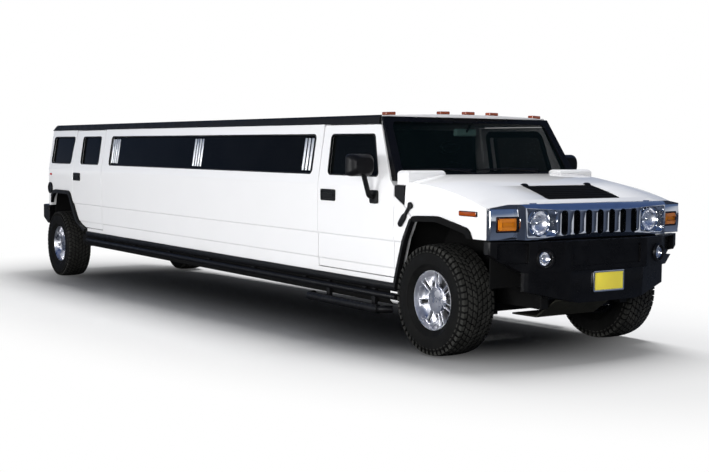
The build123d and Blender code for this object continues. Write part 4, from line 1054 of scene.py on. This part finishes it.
@dataclass
class FrontEnd(Assembly):
    """Plate, chrome wings, indicators, hood vent, latches, markers and wipers."""

    hood_arc: tuple[Point, Point, Point] = ((-0.452, 0, 1.392), (0.13, 0, 1.357), (0.684, 0, 1.204))
    slats: int = 7
    slat_first: float = 0.338
    slat_pitch: float = 0.0405
    nozzle_x: float = 0.296
    plate_at: Point = (0.873, 0, 0.621)
    wing_z: tuple[float, float] = (0.948, 1.17)
    sweep: float = 8.2
    latch_half: Profile = (
        (0.0, 0.013), (0.007, 0.024), (0.022, 0.029), (0.037, 0.024), (0.05, 0.015), (0.118, 0.0135),
        (0.132, 0.021), (0.15, 0.026), (0.225, 0.026), (0.24, 0.021), (0.247, 0.01),
    )
    wiper_ys: tuple[float, float] = (0.52, -0.22)

    def build(self) -> None:
        """Model the nose's fittings."""
        self._plate()
        self._wings()
        self._indicators()
        self._vent()
        self._latches()
        self._markers()
        self._wipers()

    @staticmethod
    def _panel(name: str, finish: Finish, size: tuple[float, float], depth: float, radius: float) -> Piece:
        """A rounded rectangle across the vehicle, raised forwards from the origin.

        Args:
            name: Name of the piece.
            finish: Finish of its faces.
            size: Width and height.
            depth: How far it is raised.
            radius: Rounding of its corners.

        Returns:
            The piece, all of it selected.
        """
        y, z = size[0] / 2, size[1] / 2
        corners = [(0, y, -z), (0, y, z), (0, -y, z), (0, -y, -z)]
        return Piece.plate(name, finish, corners, (depth, 0, 0), radius)

    def _plate(self) -> None:
        """Blank yellow number plate in a bright frame."""
        border = self._panel("plate_frame", CHROME, (0.322, 0.156), 0.014, 0.012).hollow(0, 0.012)
        self.add("plate_frame", border.soften(0.003).shift(self.plate_at).done(), "chassis", "chrome")
        panel = self._panel("number_plate", PLATE, (0.302, 0.136), 0.006, 0.006)
        self.add("number_plate", panel.soften(0.002).shift(self.plate_at).done(), "chassis", "chrome")

    def _wings(self) -> None:
        """Crowned bright panels outboard of the lamps, which carry the indicators."""
        low, high = self.wing_z
        face_x, root_x, inner_y, bulge, steps = 0.703, 0.69, 0.767, 0.0095, 12
        bow = [(1 - (2 * i / steps - 1) ** 2, low + (high - low) * i / steps) for i in range(steps + 1)]
        front = [(face_x + bulge * out, inner_y, z) for out, z in bow]
        points = [(root_x, inner_y, low), *front, (root_x, inner_y, high)]
        wing = Piece.plate("grille_wing", CHROME, points, (-0.0329, 0.2285, 0))
        self.add_pair("grille_wing", wing.soften(0.003).done(), "chassis", "chrome")

    def _indicators(self) -> None:
        """Dark surrounds and amber lenses of the indicators, a glint painted in the middle of each, swept with
        the outer chrome panels.
        """
        rim = self._panel("indicator_surround", BLACK_PLASTIC, (0.186, 0.116), 0.0085, 0.01)
        rim.hollow(0, 0.0105).soften(0.002).turn(self.sweep, "Z").shift((0.6945, 0.859, 1.057))
        self.add_pair("indicator_surround", rim.done(), "chassis", "black_plastic")
        lens = self._panel("indicator_lens", LAMP_AMBER, (0.158, 0.088), 0.004, 0.008)
        # Painted highlight: the middle of each lens is painted bright amber as a glint.
        lens.soften(0.0015).faces(lambda _, normal: normal.x > 0.9).inset(0.029, 0.002).paint(LAMP_PAINTED_GLINT)
        lens.all().turn(self.sweep, "Z").shift((0.7, 0.8597, 1.057))
        self.add_pair("indicator_lens", lens.done(), "chassis", "lamp_amber")

    def _vent(self) -> None:
        """Slats across the hood's vent and the washer nozzles at its rear corners."""
        slat = Piece("vent_slat", LINER, Start.CUBE, (0.022, 0.7, 0.005))
        slat.faces(lambda _, normal: normal.z > 0.9).scale((0.5, 0.99, 1)).shift((-0.004, 0, 0.003))
        mesh = slat.soften(0.0012).done()
        for i in range(self.slats):
            place = BODY @ self._on_hood(self.slat_first + i * self.slat_pitch, -0.0045)
            self.add(f"vent_slat_{i}", mesh, "hood", "black_plastic", place)
        ear = Piece("washer_nozzle", BLACK_PLASTIC, Start.CUBE, (0.052, 0.056, 0.014), (0, 0.335, 0.004))
        ear.faces(lambda _, normal: normal.z > 0.9).scale((0.5, 0.6, 1), (0.008, 0.335, 0)).shift((0, 0, 0.004))
        mesh = ear.soften(0.003).done()
        for side in Side:
            place = BODY @ self._on_hood(self.nozzle_x, 0.0) @ side.mirror
            self.add(f"washer_nozzle_{side.value}", mesh, "hood", "black_plastic", place)

    def _on_hood(self, x: float, rise: float) -> Matrix:
        """Place at a station on the hood's crown, leaning with it.

        Args:
            x: Station ahead of the front axle.
            rise: Height over the skin.

        Returns:
            Matrix from a level piece at the origin.
        """
        z = arc_height(x, self.hood_arc)
        fall = math.atan2(z - arc_height(x + 0.01, self.hood_arc), 0.01)
        return Matrix.Translation((x, 0, z + rise)) @ Matrix.Rotation(fall, 4, "Y")

    def _latches(self) -> None:
        """Rubber hood latches: round head, strap and pull handle, lying on the skin."""
        ring = [(w, 0, -s) for s, w in self.latch_half] + [(-w, 0, -s) for s, w in reversed(self.latch_half)]
        latch = Piece.plate("hood_latch", BLACK_PLASTIC, ring, (0, 0.019, 0))
        latch.soften(0.005, 3).turn(41.4, "Y").shift((-0.262, 1.001, 1.174))
        self.add_pair("hood_latch", latch.done(), "hood", "black_plastic")

    def _markers(self) -> None:
        """Amber side markers in dark bezels on the fenders."""
        x, z = 0.103, 0.0195
        box = [(x, 0, -z), (x, 0, z), (-x, 0, z), (-x, 0, -z)]
        lamp = Piece.plate("side_marker", BLACK_PLASTIC, box, (0, 0.007, 0), 0.006)
        lamp.faces(lambda _, normal: normal.y > 0.9).inset(0.0035).extrude((0, 0.006, 0))
        lamp.paint(LAMP_AMBER).inset(0.004, 0.003)
        lamp.all().shift((0.431, 0.9995, 1.1265))
        self.add_pair("side_marker", lamp.soften(0.0012).done(), "hood", "lamp_amber")

    def _wipers(self) -> None:
        """Two parked wipers along the foot of the windscreen."""
        slope = 0.326 / 0.526
        foot_x, foot_z = -0.462, 1.342
        knee, low, high = [(foot_x - (z - foot_z) * slope, z) for z in (1.405, 1.43, 1.436)]
        for i, y in enumerate(self.wiper_ys):
            arm = [
                (-0.458, y, 1.378),
                (knee[0] + 0.03, y - 0.04, knee[1] + 0.012),
                (low[0] + 0.022, y - 0.32, low[1] + 0.008),
            ]
            blade = [
                (low[0] + 0.008, y - 0.66, low[1]),
                (high[0] + 0.012, y - 0.32, high[1] + 0.002),
                (low[0] + 0.008, y + 0.02, low[1]),
            ]
            rod = Piece.chain(f"wiper_arm_{i}", BLACK_METAL, arm).tube(0.0075)
            self.add(f"wiper_arm_{i}", rod.done(), "chassis", "black_metal")
            rubber = Piece.chain(f"wiper_blade_{i}", BLACK_PLASTIC, blade).tube(0.0065)
            self.add(f"wiper_blade_{i}", rubber.done(), "chassis", "black_plastic")


@dataclass
class SideDetails(Assembly):
    """Window seals and dividers, door trim, mirror glass, fuel cap, step sleeves, and dark skirts as painted
    shade under the sills.
    """

    lean: float = 8.8
    shoulder: float = 1.29
    window_z: tuple[float, float] = (1.369, 1.726)
    windows: Sequence[tuple[str, Sequence[float]]] = (
        ("front_door", (-0.744, -0.872, -1.544, -1.528)),
        ("long", (-1.786, -1.786, REAR_AXLE + 1.687, REAR_AXLE + 1.687)),
        ("rear_door", (REAR_AXLE + 1.363, REAR_AXLE + 1.363, REAR_AXLE + 0.741, REAR_AXLE + 0.741)),
        ("quarter", (REAR_AXLE + 0.399, REAR_AXLE + 0.459, REAR_AXLE - 0.321, REAR_AXLE - 0.331)),
    )
    dividers: Sequence[float] = (-1.905, (-1.66 + REAR_AXLE + 1.474) / 2 + 0.042, REAR_AXLE + 1.806)
    divider_w: float = 0.23
    divider_z: tuple[float, float] = (1.404, 1.692)
    blades: int = 4
    card_y: float = 0.9295
    card_z: tuple[float, float] = (0.82, 1.28)
    grips: int = 18
    grip_pitch: float = 0.06

    def build(self) -> None:
        """Model the flanks' details."""
        for name, stations in self.windows:
            self._window(name, stations)
        for i, x in enumerate(self.dividers):
            nodes = [] if i else ["window_dividers"]
            self.add_pair(f"divider_{i}", self._divider(x), "chassis", "chrome", nodes)
        self._mirror()
        self._fuel_cap()
        self._step()
        self._inner_sill()

    def _window(self, name: str, stations: Sequence[float]) -> None:
        """Put a seal round a window and, on a door, trim on the inner skin.

        Args:
            name: Stem of the pieces' names, and of a door's body.
            stations: The window's corners, from the lower front one round over the top.
        """
        front, _, _, rear = stations
        is_door = name.endswith("door")
        body = f"{name}_{{}}" if is_door else "chassis"
        self.add_pair(f"{name}_seal", self._seal(name, stations), body, "black_plastic")
        if is_door:
            self.add_pair(f"{name}_lining", self._lining(stations), body, "interior")
            self.add_pair(f"{name}_card", self._card(front + 0.045, rear - 0.05), body, "interior")
            self.add_pair(f"{name}_armrest", self._armrest((front + rear) / 2), body, "interior")

    def _leaned(self, piece: Piece) -> Piece:
        """Lean an upright piece on the side plane in with the upper body.

        Args:
            piece: The piece, still upright.

        Returns:
            The same piece, leaned.
        """
        stretch = 1 / math.cos(math.radians(self.lean))
        about = (0, 1.0, self.shoulder)
        return piece.all().scale((1, 1, stretch), about).turn(self.lean, "X", about)

    def _seal(self, name: str, stations: Sequence[float]) -> bpy.types.Mesh:
        """Rubber ring round a window, standing just proud of the skin.

        Args:
            name: Name of the window.
            stations: Its corners, from the lower front one round over the top.

        Returns:
            The finished ring.
        """
        low, high = self.window_z
        corners = [(x, 0.985, z) for x, z in zip(stations, (low, high, high, low))]
        ring = Piece.plate(f"{name}_seal", BLACK_PLASTIC, corners, (0, 0.0185, 0), 0.045)
        return self._leaned(ring.hollow(1, 0.013).soften(0.002)).done()

    def _lining(self, stations: Sequence[float]) -> bpy.types.Mesh:
        """Dark inner frame of a door's window.

        Args:
            stations: The window's corners, from the lower front one round over the top.

        Returns:
            The finished ring, on the door's inner skin.
        """
        grow = 0.054
        low, high = self.window_z[0] - grow, self.window_z[1] + grow
        a, b, c, d = stations
        corners = [(a + grow, low), (b + grow, high), (c - grow, high), (d - grow, low)]
        ring = Piece.plate("lining", TRIM, [(x, 0.9255, z) for x, z in corners], (0, 0.004, 0), 0.075)
        return self._leaned(ring.hollow(1, 0.056).soften(0.001)).done()

    def _card(self, front: float, rear: float) -> bpy.types.Mesh:
        """Trim card with a sunk middle on a door's inner skin.

        Args:
            front: Station of its front edge.
            rear: Station of its rear edge.

        Returns:
            The finished card.
        """
        y = self.card_y
        low, high = self.card_z
        corners = [(front, y, low), (front, y, high), (rear, y, high), (rear, y, low)]
        card = Piece.plate("card", TRIM, corners, (0, -0.01, 0), 0.04)
        card.faces(lambda _, normal: normal.y < -0.9).inset(0.035).inset(0.006, -0.005)
        return card.soften(0.0015).done()

    @staticmethod
    def _armrest(x: float) -> bpy.types.Mesh:
        """Arm rest with a rounded nose, standing off a door card.

        Args:
            x: Station of its middle.

        Returns:
            The finished arm rest.
        """
        rest = Piece("armrest", TRIM, Start.CUBE, (0.42, 0.05, 0.06), (x, 0.9, 1.02))
        rest.faces(lambda _, normal: normal.y < -0.9).scale((0.94, 1, 0.8), (x, 0.9, 1.035))
        return rest.soften(0.012, 3).done()

    def _divider(self, x: float) -> bpy.types.Mesh:
        """Upright bright blades over a window, chamfered and leaned in with it.

        Args:
            x: Station of the middle of the group.

        Returns:
            All the blades of one divider.
        """
        pitch = self.divider_w / self.blades
        low, high = self.divider_z
        start = x - self.divider_w / 2 + pitch * 0.17
        end = start + pitch * 0.66
        edge = [(start, 0.968), (start, 0.978), (start + pitch * 0.2, 0.985), (start + pitch * 0.46, 0.985),
                (end, 0.978), (end, 0.968)]
        blade = Piece.plate("divider", FLUTED, [(px, y, low) for px, y in edge], (0, 0, high - low))
        blade.copies(self.blades, (pitch, 0, 0))
        return self._leaned(blade.soften(0.0015)).done()

    def _mirror(self) -> None:
        """Looking glass in the back of each door mirror."""
        y, z = 0.1, 0.072
        flat = [(0, y, -z), (0, y, z), (0, -y, z), (0, -y, -z)]
        glass = Piece.plate("mirror_glass", BLACK_PLASTIC, flat, (-0.006, 0, 0), 0.026)
        glass.faces(lambda _, normal: normal.x < -0.9).inset(0.006, -0.002).paint(CHROME)
        glass.all().shift((-0.8375, 1.138, 1.466))
        self.add_pair("mirror_glass", glass.done(), "front_door_{}", "chrome")

    def _step(self) -> None:
        """Grooved rubber sleeve on the tube of each side step."""
        grip = [(-1.73, 0.03)]
        for i in range(self.grips):
            x = -1.72 + i * self.grip_pitch
            grip += [(x, 0.0365), (x + 0.05, 0.0365), (x + 0.053, 0.034), (x + 0.057, 0.034)]
        grip += [(-0.65, 0.0365), (-0.645, 0.03)]
        sleeve = Piece.lathe("step_sleeve", BLACK_PLASTIC, grip, "X", 20)
        self.add_pair("step_sleeve", sleeve.shift((0, 1.045, 0.296)).done(), "chassis", "black_plastic")

    def _inner_sill(self) -> None:
        """Folded dark skirt behind each rocker tube, a dark sheet as painted shade that closes the view under
        the body.
        """
        fold = [(0.932, 0.462), (0.936, 0.462), (0.936, 0.365), (0.9, 0.325), (0.86, 0.322), (0.86, 0.326),
                (0.898, 0.329), (0.932, 0.367)]
        # Painted shade: a dark sheet put where there is only the shadow under the body.
        skirt = Piece.plate("inner_sill", LINER, [(-0.64, y, z) for y, z in fold], (-6.88, 0, 0))
        self.add_pair("inner_sill", skirt.soften(0.001).done(), "chassis", "black_plastic")

    def _fuel_cap(self) -> None:
        """Raised ring on the round fuel cap of the right side."""
        ring = [(0.0, 0.05), (0.006, 0.051), (0.008, 0.056), (0.008, 0.07), (0.005, 0.0755), (0.0, 0.076)]
        collar = Piece.lathe("fuel_cap_ring", BLACK_METAL, ring, "Y", 40)
        place = Side.RIGHT.mirror @ Matrix.Translation((REAR_AXLE - 0.329, 1.012, 1.035))
        self.add("fuel_cap_ring", collar.done(), "chassis", "black_metal", BODY @ place)


@dataclass
class Cabin(Assembly):
    """Seats with their cushions, and the interior mirror."""

    bench_first: float = -2.325
    bench_pitch: float = 0.65
    bench_places: int = 8
    front_places: Sequence[float] = (0.4, -0.4)
    rear_places: Sequence[float] = (0.41, 0.0, -0.41)
    seat_z: float = 0.77
    fill: float = 0.7

    def build(self) -> None:
        """Model the seats and the small cabin pieces."""
        self._plinths()
        self._front_seats()
        self._benches()
        self._mirror()

    def _mirror(self) -> None:
        """Rear-view mirror on a bent stalk from the windscreen's header."""
        mirror = Piece("rear_view_mirror", SHELL, Start.CUBE, (0.03, 0.25, 0.07), (-0.845, 0.0, 1.745))
        mirror.faces(lambda _, normal: normal.x > 0.9).scale((1, 0.86, 0.7), (0, 0, 1.745))
        self.add("rear_view_mirror", mirror.soften(0.008, 3).done(), "chassis", "interior")
        stalk = Piece.chain("mirror_stalk", TRIM, [(-0.832, 0, 1.75), (-0.8, 0, 1.79), (-0.786, 0, 1.812)])
        self.add("mirror_stalk", stalk.tube(0.009).done(), "chassis", "interior")

    @staticmethod
    def _cushion(name: str, size: Point, crown: float) -> bpy.types.Mesh:
        """A crowned cushion with pulled-in sides and a sewn channel, lying at the origin on its flat underside.

        Args:
            name: Name of the mesh.
            size: Length, width and thickness at the rim.
            crown: How far the middle stands over the rim.

        Returns:
            The finished mesh.
        """
        span = min(size[0], size[1])
        pad = Piece(name, HIDE, Start.CUBE, size, (0, 0, size[2] / 2))
        pad.faces(lambda _, normal: normal.z > 0.9).scale((0.965, 0.965, 1)).inset(0.05 * span)
        pad.shift((0, 0, 0.4 * crown)).inset(0.11 * span).shift((0, 0, 0.5 * crown))
        pad.inset(0.018 * span, -0.012).inset(0.018 * span, 0.012)
        pad.inset(0.06 * span).shift((0, 0, 0.1 * crown))
        pad.faces(lambda _, normal: abs(normal.z) < 0.3)
        pad.inset(0.2 * size[2], -0.008)
        return pad.smooth(2).done()

    def _pads(
        self, name: str, size: Point, crown: float, places: Sequence[Point], lean: Matrix = Matrix()
    ) -> None:
        """Args:
            name: Stem of the pieces' names.
            size: Length, width and thickness of the cushion at its rim.
            crown: How far its middle stands over the rim.
            places: Where the middle of each underside goes.
            lean: How each one is turned.
        """
        mesh = self._cushion(name, size, crown)
        for i, place in enumerate(places):
            thing = self.add(f"{name}_{i}", mesh, "chassis", "leather", BODY @ Matrix.Translation(place) @ lean)

    def _front_seats(self) -> None:
        """Two front seats of base, back and head rest."""
        lean = Matrix.Rotation(math.radians(97), 4, "Y")
        ys = self.front_places
        self._pads("seat_base", (0.52, 0.54, 0.13), 0.045, [(-1.33, y, self.seat_z) for y in ys])
        self._pads("seat_back", (0.62, 0.5, 0.09), 0.04, [(-1.6, y, 1.22) for y in ys], lean)
        self._pads("head_rest", (0.15, 0.26, 0.075), 0.02, [(-1.63, y, 1.62) for y in ys], lean)

    def _benches(self) -> None:
        """Long bench and rear bench, sewn in equal cushions."""
        xs = [self.bench_first - i * self.bench_pitch for i in range(self.bench_places)]
        ys = self.rear_places
        wall = Matrix.Rotation(math.radians(90), 4, "X")
        lean = Matrix.Rotation(math.radians(92), 4, "Y")
        self._pads("bench_seat", (0.64, 0.36, 0.13), 0.045, [(x, 0.675, self.seat_z) for x in xs])
        self._pads("bench_back", (0.64, 0.34, 0.075), 0.03, [(x, 0.905, 1.115) for x in xs], wall)
        self._pads("rear_seat", (0.6, 0.4, 0.13), 0.045, [(-8.05, y, self.seat_z) for y in ys])
        self._pads("rear_back", (0.42, 0.4, 0.09), 0.03, [(-8.5, y, 1.14) for y in ys], lean)

    def _plinths(self) -> None:
        """Boxes under the cushions, set back at the foot, that stand for the plain CAD seats."""
        length = self.bench_pitch * self.bench_places
        middle = self.bench_first - self.bench_pitch * (self.bench_places - 1) / 2
        boxes = {
            "seat_plinth_left": ((0.46, 0.46), (-1.33, 0.4)),
            "seat_plinth_right": ((0.46, 0.46), (-1.33, -0.4)),
            "bench_plinth": ((length, 0.38), (middle, 0.69)),
            "rear_plinth": ((0.58, 1.2), (-8.07, 0.0)),
        }
        for name, (size, (x, y)) in boxes.items():
            box = Piece(name, TRIM, Start.CUBE, (*size, 0.169), (x, y, 0.6855))
            box.faces(lambda _, normal: normal.z < -0.9).inset(0.03).extrude((0, 0, 0.0005))
            box.faces(lambda _, normal: abs(normal.z) < 0.5).inset(0.02, 0).inset(0.004, -0.005)
            self.add(name, box.soften(0.003).done(), "chassis", "interior", replaces=["seats"])


@dataclass
class Tail(Assembly):
    """Tailgate handle, and bezels and bars on the tail lamps."""

    stern: float = STERN
    lamp_y: float = 0.88

    def build(self) -> None:
        """Model the rear's small pieces."""
        at = (self.stern - 0.002, 0, 1.26)
        grip = Piece("tailgate_handle", BLACK_PLASTIC, Start.CUBE, (0.03, 0.26, 0.075), at)
        grip.faces(lambda _, normal: normal.x < -0.9).inset(0.012).inset(0.004, -0.012)
        self.add("tailgate_handle", grip.soften(0.004).done(), "tailgate", "black_plastic")
        at = (self.stern - 0.007, self.lamp_y, 1.01)
        bezel = Piece("tail_bezel", BLACK_PLASTIC, Start.CUBE, (0.014, 0.1, 0.246), at)
        self.add_pair("tail_bezel", bezel.hollow(0, 0.0075).soften(0.002).done(), "chassis", "black_plastic")
        at = (self.stern - 0.0175, self.lamp_y, 0.97)
        bar = Piece("tail_lens_bar", BLACK_PLASTIC, Start.CUBE, (0.004, 0.084, 0.008), at)
        bar.copies(2, (0, 0, 0.08))
        self.add_pair("tail_lens_bar", bar.soften(0.001).done(), "chassis", "black_plastic")


@dataclass
class Studio:
    """Camera, floor and soft light."""

    eye: Point = (11.2543, -6.5320, 1.4782)
    azimuth: float = 56.222
    elevation: float = 3.427
    roll: float = -0.129
    lens: float = 60.0
    floor_span: float = 400.0
    floor_fade: tuple[float, float] = (1.7, 3.7)
    floor_stretch: float = 0.45
    painted_floor_reflection: Colour = (0.13, 0.16, 0.23)
    low_light: Colour = (0.01, 0.01, 0.0105)
    high_light: Colour = (0.2, 0.204, 0.212)
    horizon: Colour = (0.55, 0.58, 0.64)
    sky: Colour = (0.1, 0.15, 0.27)
    zenith: Colour = (0.05, 0.09, 0.22)
    top_watts: float = 1400.0
    front_watts: float = 900.0
    flank_watts: float = 850.0

    def build(self) -> None:
        """Set up the stage."""
        bpy.context.scene.view_settings.view_transform = "Standard"
        self._camera()
        floor = self._floor()
        self._world()
        self._lights(floor)

    def _lights(self, floor: bpy.types.Object) -> None:
        """Hang a lamp above and two low ones that spare the floor, so that it keeps its shadow.

        Args:
            floor: What the two low lamps leave alone.
        """
        top = self._lamp("top_lamp", (0.5, 3.0, 10.5), (0.3, 0.0, 0.5), (9.0, 4.0), self.top_watts)
        top.visible_glossy = False
        spared = bpy.data.collections.new("spared_floor")
        spared.objects.link(floor)
        spared.collection_objects[0].light_linking.link_state = "EXCLUDE"
        for name, x, y, watts in (
            ("front_lamp", 9.5, -9.5, self.front_watts),
            ("flank_lamp", -3.0, -13.0, self.flank_watts),
        ):
            lamp = self._lamp(name, (x, y, 2.2), (0.4 * x - 1.2, 0.0, 0.9), (6.0, 2.6), watts)
            lamp.light_linking.receiver_collection = spared

    def _camera(self) -> None:
        """Stand the camera where the photograph was taken from."""
        bpy.ops.object.camera_add(location=self.eye)
        camera = bpy.context.active_object
        camera.name = "camera"
        az, el = math.radians(self.azimuth), math.radians(self.elevation)
        ahead = Vector((-math.sin(az) * math.cos(el), math.cos(az) * math.cos(el), -math.sin(el)))
        camera.rotation_mode = "QUATERNION"
        level = ahead.to_track_quat("-Z", "Y")
        camera.rotation_quaternion = level @ Matrix.Rotation(math.radians(self.roll), 3, "Z").to_quaternion()
        camera.data.lens = self.lens
        camera.data.sensor_width = 36.0
        camera.data.clip_end = 1000.0
        bpy.context.scene.camera = camera

    def _floor(self) -> bpy.types.Object:
        """Lay a pale floor that runs out to white round the vehicle, and that shiny surfaces see darker and
        bluish as a painted reflection.

        Returns:
            The floor.
        """
        bpy.ops.mesh.primitive_plane_add(size=self.floor_span)
        floor = bpy.context.active_object
        floor.name = "floor"
        graph = Graph("pale_floor", Roughness=0.9, Specular_IOR_Level=0.1)
        tone = graph.noise(0.7, 3.0)
        pale = graph.mix(tone, (0.8, 0.8, 0.8), (0.74, 0.74, 0.75))
        # Painted reflection: to glossy rays the floor is a darker bluish colour than it is to the camera.
        graph.feed("Base Color", graph.mix(graph.rays("Glossy"), pale, self.painted_floor_reflection))
        along, across = [
            graph.node("ShaderNodeSeparateXYZ", inputs={0: graph.place()}, output=axis) for axis in "XY"
        ]
        along = along * self.floor_stretch
        reach = (along * along + across * across).root()
        fade = reach.range(*self.floor_fade) * graph.rays("Camera", "Transmission")
        white = graph.node("ShaderNodeEmission", inputs={"Color": (1.0, 1.0, 1.0), "Strength": 1.0})
        shader = Value(graph, graph.shader.outputs[0])
        both = graph.node("ShaderNodeMixShader", inputs={0: fade, 1: shader, 2: white})
        graph.tree.links.new(both.socket, graph.tree.nodes["Material Output"].inputs["Surface"])
        floor.data.materials.append(graph.material)
        return floor

    def _world(self) -> None:
        """Soft light from above, seen as white by the camera and as a calm sky by shiny surfaces."""
        world = bpy.data.worlds.new("studio")
        bpy.context.scene.world = world
        world.use_nodes = True
        sky = Nodes(world.node_tree)
        coords = sky.node("ShaderNodeTexCoord", output="Generated")
        height = sky.node("ShaderNodeSeparateXYZ", inputs={0: coords}, output="Z")
        light = sky.mix(height.range(-0.05, 0.7), self.low_light, self.high_light)
        low = sky.mix(height.range(0.03, 0.14), self.horizon, self.sky)
        shine = sky.mix(height.range(0.2, 0.75), low, self.zenith)
        seen = sky.mix(sky.rays("Glossy"), light, shine)
        back = sky.mix(sky.rays("Camera", "Transmission"), seen, (1.0, 1.0, 1.0))
        background = world.node_tree.nodes["Background"]
        world.node_tree.links.new(back.socket, background.inputs["Color"])

    @staticmethod
    def _lamp(name: str, place: Point, aim: Point, size: tuple[float, float], power: float) -> bpy.types.Object:
        """Hang a broad soft lamp that looks at a point.

        Args:
            name: Name of the lamp.
            place: Where it hangs.
            aim: What it looks at.
            size: Its two sides.
            power: Its strength in watts.

        Returns:
            The lamp.
        """
        bpy.ops.object.light_add(type="AREA", location=place)
        lamp = bpy.context.active_object
        lamp.name = name
        lamp.data.shape = "RECTANGLE"
        lamp.data.size, lamp.data.size_y = size
        lamp.data.energy = power
        lamp.rotation_mode = "QUATERNION"
        lamp.rotation_quaternion = (Vector(aim) - Vector(place)).to_track_quat("-Z", "Y")
        return lamp


def main() -> None:
    """Build the stage, then every sub-assembly in order."""
    logging.basicConfig(level=logging.INFO, format="%(name)s: %(message)s")
    Studio().build()
    CadFrame().build()
    for assembly in (Wheels(), FrontLamps(), FrontEnd(), SideDetails(), Cabin(), Tail()):
        assembly.build()


if __name__ == "__main__":
    main()
